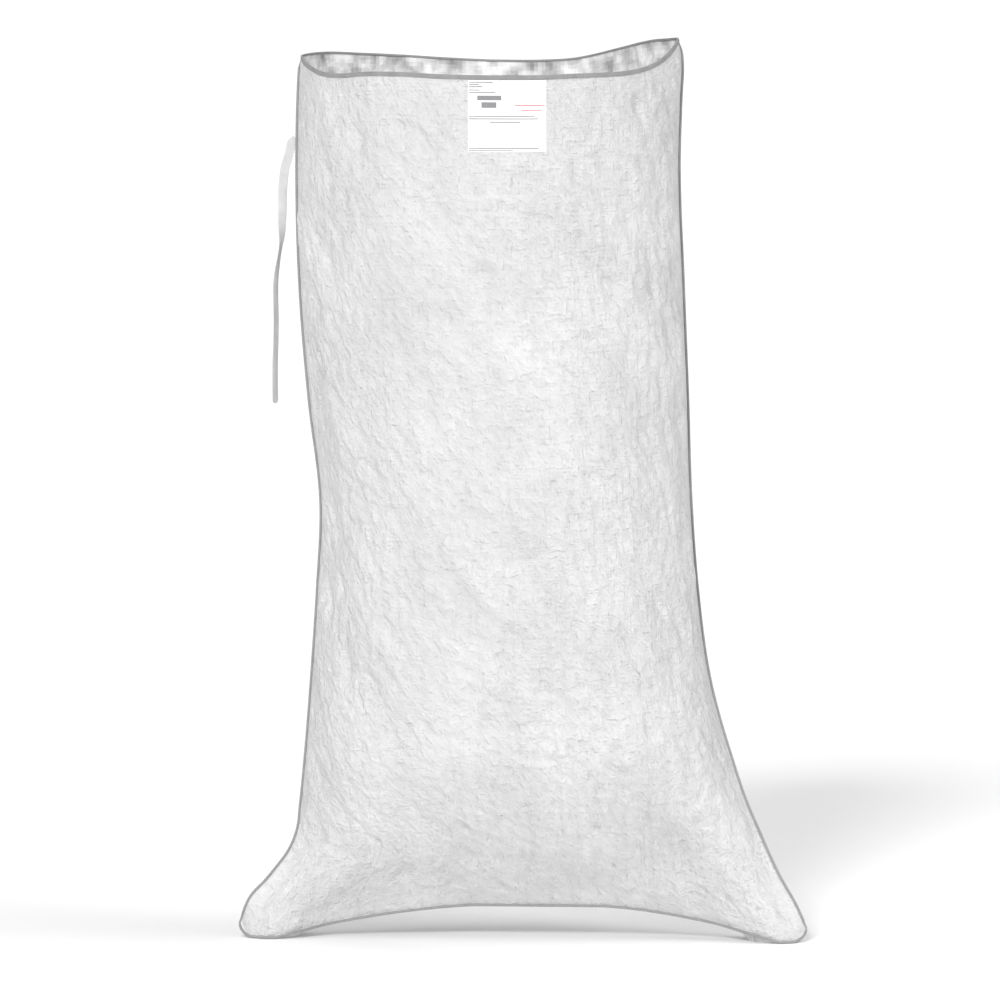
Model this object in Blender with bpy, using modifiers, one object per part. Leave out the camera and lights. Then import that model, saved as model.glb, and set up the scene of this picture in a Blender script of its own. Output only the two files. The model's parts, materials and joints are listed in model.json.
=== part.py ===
# An empty woven sack for building material, standing open on its two bottom corners.
#
# The cloth was cut 700 mm wide and 1100 mm long when flat. Stood up and opened, it is nearly round at
# the mouth and flat at the bottom seam, whose two corners spread into feet on the floor while the
# middle of the seam arches up. +Z is up, +X is to the right of the labelled front, and the front
# faces -Y. Everything is in metres.

import math

import bpy
import bmesh
import numpy as np
from mathutils import Vector

# Flat width of the sack, and the height of its mouth where the rim is level
FLAT_WIDTH = 0.700
MOUTH_HEIGHT = 1.0725

# Outline seen from the front, over the corded seams: height above the bottom fold, left and right edge
OUTLINE = (
    (0.0000, -0.350, 0.350),
    (0.0350, -0.335, 0.334),
    (0.0615, -0.314, 0.318),
    (0.0885, -0.294, 0.305),
    (0.1160, -0.281, 0.294),
    (0.1545, -0.275, 0.279),
    (0.2200, -0.269, 0.259),
    (0.320, -0.261, 0.232),
    (0.430, -0.252, 0.215),
    (0.535, -0.247, 0.206),
    (0.660, -0.262, 0.202),
    (0.780, -0.273, 0.198),
    (0.930, -0.278, 0.192),
    (1.0725, -0.274, 0.194),
)

# Thicknesses of cloth, tape and seam cord, and the gaps between touching pieces and under the cord
CLOTH = 0.0012
TAPE = 0.0008
SEAM_RADIUS = 0.0015
GAP = 0.0005
SEAM_GAP = 0.0008
FLOOR_GAP = 0.0002

# Arch of the bottom fold, between the two places where it comes down to the floor
SEAM_LEFT = -0.318
SEAM_RIGHT = 0.327
ARCH_HEIGHT = 0.043
ARCH_FLAT_LEFT = -0.050
ARCH_FLAT_RIGHT = 0.095
ARCH_POWER = 1.55
ARCH_FADE = 0.300

# Rounded bottom corners: how far the fold turns up at each end, and over what length
CORNER_HEIGHT = 0.016
CORNER_LENGTH = 0.030

# Section of the tube: 2 is a lens, 1 an ellipse; below the wedge's top the two faces close evenly
POINTED_BOTTOM = 1.9
POINTED_WAIST = 1.12
POINTED_MOUTH = 1.22
ROUNDING_HEIGHT = 0.300
WEDGE_TOP = 0.260
WEDGE_POWER = 1.6

# Feet: behind the seam, the back layer of each bottom corner is pressed flat on the floor
FOOT_HALF_DEPTH = 0.032
FOOT_LENGTH = 0.110
FOOT_TIP_POWER = 0.75
FOOT_END_POWER = 1.5
FOOT_FADE = 0.055
FOOT_SINK = 0.042
FOOT_SINK_FADE = 0.040
FOOT_TOUCH = 0.008
FOOT_HEEL = 0.016

# The bottom seam turns a little, the left foot to the back and the right foot to the front
TWIST = 0.026
TWIST_FADE = 0.350

# Mouth: the rim's peaks at the two side seams, and its dip at the back
LEFT_PEAK = 0.0125
RIGHT_PEAK = 0.0345
PEAK_POWER_FRONT = 10.0
PEAK_POWER_BACK_LEFT = 1.2
PEAK_POWER_BACK_RIGHT = 2.3
BACK_DIP = 0.005

# Mesh density of the cloth
HALF_COLUMNS = 28
ROWS = 26
ROW_POWER = 1.64

# Mouth binding: how far the tape reaches down outside and inside
TAPE_OUTSIDE = 0.005
TAPE_INSIDE = 0.0025

# Label on the front, under the mouth binding
LABEL_LEFT = -0.066
LABEL_RIGHT = 0.028
LABEL_HEIGHT = 0.087
LABEL_THICKNESS = 0.0006
LABEL_GAP = 0.0005
LABEL_COLUMNS = 8
LABEL_ROWS = 4

# Tie ribbon: its section, and the route of its middle line from the left side seam down
RIBBON_WIDTH = 0.011
RIBBON_THICKNESS = 0.0016
RIBBON_STEP = 0.012
RIBBON_ROUTE = (
    (-0.2822, 0.000, 0.9800),
    (-0.2870, 0.000, 0.9745),
    (-0.2915, 0.000, 0.9600),
    (-0.2940, 0.000, 0.9300),
    (-0.2940, -0.002, 0.8900),
    (-0.2952, -0.004, 0.8620),
    (-0.2982, -0.004, 0.8400),
    (-0.3012, -0.003, 0.8150),
    (-0.3020, -0.002, 0.7700),
    (-0.3025, -0.001, 0.7200),
    (-0.3032, 0.000, 0.6600),
)

# Finishes: colour, roughness
WOVEN_WHITE = ((0.80, 0.80, 0.80, 1.0), 0.55)
TAPE_GREY = ((0.30, 0.30, 0.30, 1.0), 0.80)
LABEL_WHITE = ((0.90, 0.90, 0.90, 1.0), 0.60)
RIBBON_GREY = ((0.60, 0.60, 0.60, 1.0), 0.75)


def through(points, at):
    """Smooth curve through rows of points, whose first column is the place along it."""
    table = np.array(points, float)
    place, values = table[:, 0], table[:, 1:]
    slopes = np.gradient(values, place, axis=0)
    at = min(max(at, place[0]), place[-1])
    cell = min(int(np.searchsorted(place, at, side="right")) - 1, len(place) - 2)
    step = place[cell + 1] - place[cell]
    s = (at - place[cell]) / step
    start = (1 + 2 * s) * (1 - s) ** 2 * values[cell] + s * (1 - s) ** 2 * step * slopes[cell]
    end = s * s * (3 - 2 * s) * values[cell + 1] - s * s * (1 - s) * step * slopes[cell + 1]
    return start + end


def smooth(value):
    """Soft step from 0 to 1."""
    value = min(max(value, 0.0), 1.0)
    return value * value * (3 - 2 * value)


def side_edges(height):
    """Left and right fold of the cloth at a height, inside the corded seams."""
    left, right = through(OUTLINE, height)
    cord = SEAM_GAP + 2 * SEAM_RADIUS
    return left + cord, right - cord


def seam_height(x):
    """Height of the cloth's bottom fold above the floor."""
    if x < ARCH_FLAT_LEFT:
        share = (ARCH_FLAT_LEFT - x) / (ARCH_FLAT_LEFT - SEAM_LEFT)
    else:
        share = max(x - ARCH_FLAT_RIGHT, 0.0) / (SEAM_RIGHT - ARCH_FLAT_RIGHT)
    return ARCH_HEIGHT * (1 - min(share, 1.0) ** ARCH_POWER)


def pointedness(height):
    """Power of the section's sine at a height."""
    low = smooth(height / ROUNDING_HEIGHT)
    high = smooth(2 * height / MOUTH_HEIGHT - 1)
    waist = POINTED_BOTTOM + (POINTED_WAIST - POINTED_BOTTOM) * low
    return waist + (POINTED_MOUTH - POINTED_WAIST) * high


def half_depth(height):
    """Depth that gives the section the girth of the cloth, closing to a wedge at the bottom."""
    level = max(height, WEDGE_TOP)
    left, right = side_edges(level)
    angles = np.linspace(0, math.pi / 2, 60)
    x = (right - left) / 2 * np.cos(angles)
    shape = np.sin(angles) ** pointedness(level)
    low, high = 0.0, FLAT_WIDTH / 2
    for _ in range(30):
        depth = (low + high) / 2
        girth = 4 * np.hypot(np.diff(x), np.diff(depth * shape)).sum()
        if girth < 2 * FLAT_WIDTH:
            low = depth
        else:
            high = depth
    return depth * (1 - (1 - height / level) ** WEDGE_POWER)


def rim_rise(angle):
    """Height of the mouth's rim above its level part, at an angle around the tube."""
    back = max(math.sin(angle), 0.0)
    if math.cos(angle) > 0:
        peak, power = RIGHT_PEAK, PEAK_POWER_BACK_RIGHT
    else:
        peak, power = LEFT_PEAK, PEAK_POWER_BACK_LEFT
    if back == 0.0:
        power = PEAK_POWER_FRONT
    return peak * abs(math.cos(angle)) ** power - BACK_DIP * back * back


def corner_rise(inset):
    """Height of a rounded bottom corner at a distance in from its side edge."""
    along = max(1 - inset / CORNER_LENGTH, 0.0)
    return CORNER_HEIGHT * (1 - math.sqrt(1 - along * along))


def foot_share(inset):
    """Share of the foot's depth at a distance in from the side edge, 1 where the foot is deepest."""
    along = min(inset / FOOT_LENGTH, 1.0)
    deepest = FOOT_TIP_POWER / (FOOT_TIP_POWER + FOOT_END_POWER)
    return (along / deepest) ** FOOT_TIP_POWER * ((1 - along) / (1 - deepest)) ** FOOT_END_POWER


def cloth_point(angle, height, depth=None):
    """Point of the cloth's outer face; angle 0 is the right side seam, then it turns to the back."""
    left, right = side_edges(height)
    half_width = (right - left) / 2
    x = (left + right) / 2 + half_width * math.cos(angle)
    inset = half_width * (1 - abs(math.cos(angle)))
    depth = half_depth(height) if depth is None else depth
    y = depth * abs(math.sin(angle)) ** pointedness(height)
    lift = (seam_height(x) + corner_rise(inset)) * (1 - smooth(height / ARCH_FADE)) ** 1.5
    rise = rim_rise(angle) * smooth(height / MOUTH_HEIGHT) ** 3
    z = height + lift + rise

    foot = foot_share(inset)
    spread = FOOT_HALF_DEPTH * foot * math.exp(-(height / FOOT_FADE) ** 2)
    if math.sin(angle) > 0:
        y += spread * (2 * smooth(height / FOOT_HEEL) - 1)
        sink = FOOT_SINK * foot * foot * smooth(height / FOOT_TOUCH)
        z -= sink * math.exp(-(height / FOOT_SINK_FADE) ** 2)
    else:
        y = -y - spread
    y -= TWIST * x / SEAM_RIGHT * (1 - smooth(height / TWIST_FADE))
    return Vector((x, y, max(z, 0.0)))


def column_angle(column):
    """Angle of a column of the cloth's mesh, column 0 at the right side seam."""
    return math.pi * column / HALF_COLUMNS


def row_height(row):
    """Height of a row of the cloth's mesh; the rows lie closer near the bottom seam."""
    return MOUTH_HEIGHT * (row / ROWS) ** ROW_POWER


def cloth_ring(height):
    """Points of one closed row of the cloth's mesh."""
    depth = half_depth(height)
    return [cloth_point(column_angle(column), height, depth) for column in range(2 * HALF_COLUMNS)]


def ring_normals(ring):
    """Level directions that point out of a closed row of points."""
    normals = []
    for index, _ in enumerate(ring):
        along = ring[(index + 1) % len(ring)] - ring[index - 1]
        normals.append(Vector((along.y, -along.x, 0.0)).normalized())
    return normals


def material(name, finish):
    """Principled material of one colour and roughness."""
    colour, roughness = finish
    made = bpy.data.materials.new(name)
    made.use_nodes = True
    shader = made.node_tree.nodes["Principled BSDF"]
    shader.inputs["Base Color"].default_value = colour
    shader.inputs["Roughness"].default_value = roughness
    made.diffuse_color = colour
    return made


def add_object(name, data, finish, collection):
    """Link an object for a mesh or curve, with a material of its own."""
    made = bpy.data.objects.new(name, data)
    data.materials.append(material(name, finish))
    collection.objects.link(made)
    return made


def grid_mesh(name, columns, rows, place):
    """Grid of columns by rows faces, each vertex put where place(column, row) says, doubles merged."""
    mesh = bpy.data.meshes.new(name)
    shape = bmesh.new()
    bmesh.ops.create_grid(shape, x_segments=columns, y_segments=rows, size=1.0)
    for vertex in shape.verts:
        column = round((vertex.co.x + 1) / 2 * columns)
        row = round((vertex.co.y + 1) / 2 * rows)
        vertex.co = place(column, row)
    bmesh.ops.remove_doubles(shape, verts=shape.verts, dist=1e-5)
    shape.to_mesh(mesh)
    shape.free()
    mesh.shade_smooth()
    mesh.set_sharp_from_angle(angle=math.radians(40))
    return mesh


def thicken(made, thickness, side):
    """Give an open surface a wall, on the side its faces point to (1) or away from it (-1)."""
    wall = made.modifiers.new("wall", "SOLIDIFY")
    wall.thickness = thickness
    wall.offset = side
    wall.use_even_offset = True


def tube(name, points, radius, finish, collection):
    """Round tube along a list of points, with closed ends."""
    curve = bpy.data.curves.new(name, "CURVE")
    curve.dimensions = "3D"
    curve.bevel_depth = radius
    curve.bevel_resolution = 2
    curve.use_fill_caps = True
    line = curve.splines.new("POLY")
    line.points.add(len(points) - 1)
    for target, point in zip(line.points, points):
        target.co = (*point, 1.0)
    return add_object(name, curve, finish, collection)


def make_sack_body(collection):
    """Folded and sewn cloth: one open surface from the bottom fold to the rim, given its wall."""
    rings = [cloth_ring(row_height(row)) for row in range(ROWS + 1)]

    def place(column, row):
        return rings[row][column % (2 * HALF_COLUMNS)]

    mesh = grid_mesh("sack_body", 2 * HALF_COLUMNS, ROWS, place)
    thicken(add_object("sack_body", mesh, WOVEN_WHITE, collection), CLOTH, -1)


def make_mouth_binding(collection):
    """Tape folded over the rim, deeper outside than inside."""
    rim = cloth_ring(MOUTH_HEIGHT)
    normals = ring_normals(rim)
    fold = (
        (GAP, -TAPE_OUTSIDE),
        (GAP, GAP),
        (-CLOTH - GAP, GAP),
        (-CLOTH - GAP, -TAPE_INSIDE),
    )

    def place(column, row):
        point, normal = rim[column % len(rim)], normals[column % len(rim)]
        out, up = fold[row]
        return point + normal * out + Vector((0, 0, up))

    mesh = grid_mesh("mouth_binding", len(rim), len(fold) - 1, place)
    thicken(add_object("mouth_binding", mesh, TAPE_GREY, collection), TAPE, 1)


def cloth_side(fold, column, height):
    """Middle direction from a fold of the cloth towards its front and back layers."""
    column = min(max(column, 1), HALF_COLUMNS - 1)
    height = max(height, row_height(1))
    front = cloth_point(-column_angle(column), height) - fold
    back = cloth_point(column_angle(column), height) - fold
    return front.normalized() + back.normalized()


def make_edge_seam(collection):
    """Corded seam along the folded edge: down the left side, over the bottom and up the right side."""
    top = MOUTH_HEIGHT - TAPE_OUTSIDE - GAP
    heights = [row_height(row) for row in range(1, ROWS)] + [top]
    stations = [(HALF_COLUMNS, height) for height in reversed(heights)]
    stations += [(column, 0.0) for column in range(HALF_COLUMNS, -1, -1)]
    stations += [(0, height) for height in heights]
    folds = [cloth_point(column_angle(column), height) for column, height in stations]

    centres = []
    for index, (fold, station) in enumerate(zip(folds, stations)):
        along = folds[min(index + 1, len(folds) - 1)] - folds[max(index - 1, 0)]
        inward = cloth_side(fold, *station)
        outward = inward.project(along) - inward
        centre = fold + outward.normalized() * (SEAM_GAP + SEAM_RADIUS)
        if centre.z < SEAM_RADIUS + FLOOR_GAP:
            outward.z = 0.0
            centre = fold + outward.normalized() * (SEAM_GAP + SEAM_RADIUS)
            centre.z = SEAM_RADIUS + FLOOR_GAP
        centres.append(centre)
    tube("edge_seam", centres, SEAM_RADIUS, TAPE_GREY, collection)


def make_label(collection):
    """Blank patch sewn on the front under the mouth binding."""
    top = MOUTH_HEIGHT - TAPE_OUTSIDE - GAP

    def place(column, row):
        x = LABEL_LEFT + (LABEL_RIGHT - LABEL_LEFT) * column / LABEL_COLUMNS
        height = top - LABEL_HEIGHT * (1 - row / LABEL_ROWS)
        left, right = side_edges(height)
        angle = -math.acos((2 * x - left - right) / (right - left))
        point = cloth_point(angle, height)
        turn = cloth_point(angle + 0.01, height) - cloth_point(angle - 0.01, height)
        return point + Vector((turn.y, -turn.x, 0.0)).normalized() * LABEL_GAP

    mesh = grid_mesh("label", LABEL_COLUMNS, LABEL_ROWS, place)
    thicken(add_object("label", mesh, LABEL_WHITE, collection), LABEL_THICKNESS, 1)


def make_tie_ribbon(collection):
    """Limp flat ribbon that leaves the left side seam and hangs beside the sack."""
    route = [Vector(point) for point in RIBBON_ROUTE]
    places = [0.0]
    for start, end in zip(route, route[1:]):
        places.append(places[-1] + (end - start).length)
    table = [(place, *point) for place, point in zip(places, route)]
    steps = round(places[-1] / RIBBON_STEP)
    points = [through(table, places[-1] * step / steps) for step in range(steps + 1)]
    ribbon = tube("tie_ribbon", points, RIBBON_THICKNESS / 2, RIBBON_GREY, collection)
    ribbon.data.extrude = (RIBBON_WIDTH - RIBBON_THICKNESS) / 2


def main():
    """Build the sack, one object for each piece."""
    for old in list(bpy.data.objects):
        bpy.data.objects.remove(old)
    collection = bpy.data.collections.new("woven_sack")
    bpy.context.scene.collection.children.link(collection)

    make_sack_body(collection)
    make_mouth_binding(collection)
    make_edge_seam(collection)
    make_label(collection)
    make_tie_ribbon(collection)


main()
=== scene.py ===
"""Looks of an open woven sack for building material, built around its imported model.

Every piece of the sack is made here at its real size, with its fine shape and its finish: two layers of
crumpled cloth, the tape round the mouth with its stitches, the corded edge seam, the sewn label and the
limp tie ribbon. Everything is in metres, +Z is up, and the labelled front faces -Y.
"""

import json
import logging
import math
from dataclasses import dataclass, field
from enum import Enum

import bpy
import numpy as np
from mathutils import Matrix, Vector

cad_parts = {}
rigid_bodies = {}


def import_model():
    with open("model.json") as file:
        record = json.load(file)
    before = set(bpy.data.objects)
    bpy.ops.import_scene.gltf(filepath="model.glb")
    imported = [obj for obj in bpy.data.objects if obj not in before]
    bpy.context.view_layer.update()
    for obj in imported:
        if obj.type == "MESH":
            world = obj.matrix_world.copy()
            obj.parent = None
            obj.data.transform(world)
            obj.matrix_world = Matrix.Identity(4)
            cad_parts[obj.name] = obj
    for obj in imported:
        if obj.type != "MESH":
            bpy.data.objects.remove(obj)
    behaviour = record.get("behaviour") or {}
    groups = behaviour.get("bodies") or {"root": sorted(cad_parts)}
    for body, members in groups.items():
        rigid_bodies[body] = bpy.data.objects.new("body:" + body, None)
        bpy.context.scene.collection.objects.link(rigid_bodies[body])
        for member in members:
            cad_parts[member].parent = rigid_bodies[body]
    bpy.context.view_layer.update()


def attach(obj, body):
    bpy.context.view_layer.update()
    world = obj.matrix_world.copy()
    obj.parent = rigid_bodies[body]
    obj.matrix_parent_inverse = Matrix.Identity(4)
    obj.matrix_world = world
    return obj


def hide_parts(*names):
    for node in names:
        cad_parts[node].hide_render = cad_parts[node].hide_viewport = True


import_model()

Colour = tuple[float, float, float, float]
Socket = bpy.types.NodeSocket
log = logging.getLogger("sack")

UV_NAME = "cloth_uv"
SHARP_ANGLE = math.radians(60)
THINNEST_WALL = 0.15
PER_METRE = 1000.0


class Layer(Enum):
    """The two layers of the folded cloth."""

    FRONT = "front"
    BACK = "back"


def grey(level: float) -> Colour:
    """Opaque grey of one brightness."""
    return (level, level, level, 1.0)


def through(table: tuple, at: np.ndarray) -> np.ndarray:
    """Smooth curve through rows of points.

    Args:
        table: rows of points, whose first column is the place along the curve.
        at: places to read the curve at.

    Returns:
        The other columns' values at those places.
    """
    rows = np.array(table, float)
    place, values = rows[:, 0], rows[:, 1:]
    slopes = np.gradient(values, place, axis=0)
    at = np.clip(at, place[0], place[-1])
    cell = np.minimum(np.searchsorted(place, at, side="right") - 1, len(place) - 2)
    step = (place[cell + 1] - place[cell])[..., None]
    share = (at - place[cell])[..., None] / step
    rest = 1 - share
    start = (1 + 2 * share) * rest**2 * values[cell] + share * rest**2 * step * slopes[cell]
    end = share**2 * (3 - 2 * share) * values[cell + 1] - share**2 * rest * step * slopes[cell + 1]
    return start + end


def smooth(value: np.ndarray) -> np.ndarray:
    """Soft step from 0 to 1."""
    value = np.clip(value, 0.0, 1.0)
    return value * value * (3 - 2 * value)


def hump(offset: np.ndarray, width: float) -> np.ndarray:
    """Bell curve that is 1 where the offset is 0."""
    return np.exp(-((offset / width) ** 2))


def interpolate(grid: np.ndarray, row: np.ndarray, column: np.ndarray, looped: bool) -> np.ndarray:
    """Values of a grid at places between its points.

    Args:
        grid: the values, row by row.
        row: places counted in rows.
        column: places counted in columns.
        looped: True if the first column follows the last one.

    Returns:
        One value for each place.
    """
    rows, columns = grid.shape
    i, j = np.minimum(row.astype(int), rows - 2), column.astype(int)
    if not looped:
        j = np.minimum(j, columns - 2)
    a, b = row - i, column - j
    j, beside = np.mod(j, columns), np.mod(j + 1, columns)
    lower = grid[i, j] * (1 - b) + grid[i, beside] * b
    upper = grid[i + 1, j] * (1 - b) + grid[i + 1, beside] * b
    return lower * (1 - a) + upper * a


def unit(vectors: np.ndarray) -> np.ndarray:
    """Vectors of length 1 in the same directions."""
    return vectors / np.maximum(np.linalg.norm(vectors, axis=-1, keepdims=True), 1e-12)


def lengths_along(points: np.ndarray) -> np.ndarray:
    """Distance of each point from the first one, along the line through them."""
    steps = np.linalg.norm(np.diff(points, axis=0), axis=1)
    return np.concatenate(([0.0], np.cumsum(steps)))


def resample(points: np.ndarray, step: float) -> np.ndarray:
    """Points spaced evenly along a dense line.

    Args:
        points: dense line of points.
        step: distance wanted between two points.

    Returns:
        The new points, with the same two ends.
    """
    places = lengths_along(points)
    count = max(int(round(places[-1] / step)), 2)
    wanted = np.linspace(0.0, places[-1], count + 1)
    return np.stack([np.interp(wanted, places, points[:, axis]) for axis in range(3)], axis=1)


@dataclass
class SackShape:
    """Smooth shape of the standing sack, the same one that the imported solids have.

    A place on the cloth is given by the distance round the sack, from the left side fold over the front
    to the right one and back, and by the height above the bottom fold.
    """

    flat_width: float = 0.700
    mouth_height: float = 1.0725
    # Height of each row, and the x of the left and the right side edge there
    outline: tuple = (
        (0.0000, -0.350, 0.350),
        (0.0350, -0.335, 0.334),
        (0.0615, -0.3105, 0.318),
        (0.0885, -0.2900, 0.305),
        (0.1160, -0.2795, 0.294),
        (0.1545, -0.275, 0.279),
        (0.2200, -0.269, 0.259),
        (0.320, -0.261, 0.232),
        (0.430, -0.2535, 0.2165),
        (0.535, -0.2490, 0.2085),
        (0.660, -0.2632, 0.2040),
        (0.780, -0.2735, 0.1990),
        (0.930, -0.278, 0.1935),
        (1.000, -0.2772, 0.1955),
        (1.045, -0.2755, 0.1972),
        (1.0725, -0.274, 0.194),
    )
    # Waves of the rim, front and back: the cosine of the angle, and the height there
    front_waves: tuple = (
        (-1.000, 0.0010),
        (-0.990, -0.0010),
        (-0.956, -0.0033),
        (-0.903, -0.0050),
        (-0.800, -0.0034),
        (-0.690, 0.0011),
        (-0.478, 0.0039),
        (-0.265, 0.0024),
        (0.091, 0.0016),
        (0.265, 0.0013),
        (0.478, 0.0021),
        (0.695, 0.0013),
        (0.877, 0.0008),
        (1.000, 0.0),
    )
    back_waves: tuple = (
        (-1.000, 0.0010),
        (-0.900, 0.0028),
        (-0.690, 0.0024),
        (-0.478, 0.0020),
        (-0.265, 0.0010),
        (0.091, 0.0),
        (0.265, -0.0013),
        (0.478, -0.0021),
        (0.560, -0.0008),
        (0.695, 0.0020),
        (0.877, 0.0032),
        (0.960, 0.0006),
        (1.000, 0.0),
    )
    # Room for the corded seam outside the fold, and above the floor
    seam_gap: float = 0.0008
    seam_radius: float = 0.0015
    floor_gap: float = 0.0002
    # Arch of the bottom fold between the two feet
    seam_left: float = -0.318
    seam_right: float = 0.327
    arch_height: float = 0.043
    arch_flat_left: float = -0.050
    arch_flat_right: float = 0.095
    arch_power: float = 1.55
    arch_fade: float = 0.300
    arch_fade_power: float = 1.5
    # Rounded bottom corners
    corner_height: float = 0.016
    corner_length: float = 0.030
    # Level sections: from a lens at the bottom to nearly an ellipse, closing to a wedge
    pointed_bottom: float = 1.9
    pointed_waist: float = 1.12
    pointed_mouth: float = 1.22
    rounding_height: float = 0.300
    wedge_top: float = 0.260
    wedge_power: float = 1.6
    # Feet, pressed open by their own weight
    foot_half_depth: float = 0.032
    foot_length: float = 0.110
    foot_tip_power: float = 0.75
    foot_end_power: float = 1.5
    foot_fade: float = 0.055
    foot_sink: float = 0.042
    foot_sink_fade: float = 0.040
    foot_touch: float = 0.008
    foot_heel: float = 0.016
    # Bottom fold, turned a little against the mouth
    twist: float = 0.026
    twist_fade: float = 0.350
    # Rise of the rim at the side seams, and its dip at the back
    left_peak: float = 0.0125
    right_peak: float = 0.0345
    peak_power_front: float = 10.0
    peak_power_back_left: float = 1.2
    peak_power_back_right: float = 2.3
    back_dip: float = 0.005
    rim_power: int = 3
    # Where the two layers beside a folded edge are looked up
    fold_reach: float = math.pi / 28
    lowest_section: float = 0.0051
    # Tables and steps that the shape is worked out with
    table_rows: int = 300
    table_columns: int = 240
    table_power: float = 1.5
    section_points: int = 721
    quarter_points: int = 60
    width_points: int = 701
    halvings: int = 30
    near: float = 0.0006
    heights: np.ndarray = field(init=False)
    depths: np.ndarray = field(init=False)
    angles: np.ndarray = field(init=False)

    def __post_init__(self) -> None:
        """Work out the sections' depths, and their angles at even distances round the sack."""
        levels = np.arange(self.table_rows + 1) / self.table_rows
        self.heights = self.mouth_height * levels**self.table_power
        self.depths = self.section_depths(self.heights)
        shares = np.linspace(0.0, 1.0, self.table_columns + 1)
        turn = np.linspace(math.pi, 0.0, self.section_points)
        self.angles = np.empty((len(self.heights), len(shares)))
        for row, height in enumerate(self.heights):
            left, right = self.side_edges(np.array(height))
            x = (right - left) / 2 * np.cos(turn)
            y = self.depths[row] * np.sin(turn) ** self.pointedness(height)
            places = lengths_along(np.stack((x, y), axis=1))
            self.angles[row] = np.interp(shares * places[-1], places, turn)

    def side_edges(self, height: np.ndarray) -> tuple[np.ndarray, np.ndarray]:
        """Left and right fold of the cloth, inside the corded seam.

        Args:
            height: heights above the bottom fold.

        Returns:
            The x of the left fold and that of the right one at each height.
        """
        edges = through(self.outline, height)
        cord = self.seam_gap + 2 * self.seam_radius
        return edges[..., 0] + cord, edges[..., 1] - cord

    def seam_height(self, x: np.ndarray) -> np.ndarray:
        """Height of the bottom fold above the floor.

        Args:
            x: places across the sack.

        Returns:
            The arch's height at each place, 0 on the feet.
        """
        left = (self.arch_flat_left - x) / (self.arch_flat_left - self.seam_left)
        right = (x - self.arch_flat_right) / (self.seam_right - self.arch_flat_right)
        share = np.clip(np.where(x < self.arch_flat_left, left, right), 0.0, 1.0)
        return self.arch_height * (1 - share**self.arch_power)

    def pointedness(self, height: np.ndarray) -> np.ndarray:
        """Power of the section's sine, where 1 makes an ellipse and 2 a lens.

        Args:
            height: heights above the bottom fold.

        Returns:
            The power at each height.
        """
        low = smooth(height / self.rounding_height)
        high = smooth(2 * height / self.mouth_height - 1)
        waist = self.pointed_bottom + (self.pointed_waist - self.pointed_bottom) * low
        return waist + (self.pointed_mouth - self.pointed_waist) * high

    def section_depths(self, heights: np.ndarray) -> np.ndarray:
        """Half depths that give each section the girth of the cloth, closing to a wedge below.

        Args:
            heights: heights above the bottom fold.

        Returns:
            Half of the sack's depth at each height.
        """
        level = np.maximum(heights, self.wedge_top)
        left, right = self.side_edges(level)
        turn = np.linspace(0.0, math.pi / 2, self.quarter_points)
        x = (right - left)[:, None] / 2 * np.cos(turn)
        shape = np.sin(turn) ** self.pointedness(level)[:, None]
        low = np.zeros(len(heights))
        high = np.full(len(heights), self.flat_width / 2)
        for _ in range(self.halvings):
            middle = (low + high) / 2
            steps = np.hypot(np.diff(x, axis=1), np.diff(middle[:, None] * shape, axis=1))
            short = 4 * steps.sum(axis=1) < 2 * self.flat_width
            low = np.where(short, middle, low)
            high = np.where(short, high, middle)
        return low * (1 - (1 - heights / level) ** self.wedge_power)

    def rim_rise(self, angle: np.ndarray) -> np.ndarray:
        """Height of the mouth's rim above its level part.

        Args:
            angle: angles round the sack.

        Returns:
            The rise at each angle, below 0 where the rim dips.
        """
        back = np.maximum(np.sin(angle), 0.0)
        across = np.cos(angle)
        peak = np.where(across > 0, self.right_peak, self.left_peak)
        power = np.where(across > 0, self.peak_power_back_right, self.peak_power_back_left)
        power = np.where(back == 0.0, self.peak_power_front, power)
        rise = peak * np.abs(across) ** power - self.back_dip * back * back
        waves = [through(table, across)[..., 0] for table in (self.front_waves, self.back_waves)]
        return rise + np.where(back == 0.0, *waves)

    def corner_rise(self, inset: np.ndarray) -> np.ndarray:
        """Height of a rounded bottom corner.

        Args:
            inset: distances in from the side edge.

        Returns:
            The rise at each distance.
        """
        along = np.clip(1 - inset / self.corner_length, 0.0, 1.0)
        return self.corner_height * (1 - np.sqrt(1 - along * along))

    def foot_share(self, inset: np.ndarray) -> np.ndarray:
        """Share of the foot's full depth.

        Args:
            inset: distances in from the side edge.

        Returns:
            Shares from 0 to 1, and 1 where the foot is deepest.
        """
        along = np.clip(inset / self.foot_length, 0.0, 1.0)
        deepest = self.foot_tip_power / (self.foot_tip_power + self.foot_end_power)
        rise = (along / deepest) ** self.foot_tip_power
        return rise * ((1 - along) / (1 - deepest)) ** self.foot_end_power

    def point(self, angle: np.ndarray, height: np.ndarray) -> np.ndarray:
        """Points of the cloth's outer face.

        Args:
            angle: angles round the sack, 0 at the right side fold and then over the back.
            height: heights above the bottom fold.

        Returns:
            One row of x, y and z for each place.
        """
        left, right = self.side_edges(height)
        half_width = (right - left) / 2
        x = (left + right) / 2 + half_width * np.cos(angle)
        inset = half_width * (1 - np.abs(np.cos(angle)))
        depth = np.interp(height, self.heights, self.depths)
        y = depth * np.abs(np.sin(angle)) ** self.pointedness(height)
        fade = (1 - smooth(height / self.arch_fade)) ** self.arch_fade_power
        z = height + (self.seam_height(x) + self.corner_rise(inset)) * fade
        z = z + self.rim_rise(angle) * smooth(height / self.mouth_height) ** self.rim_power

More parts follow.
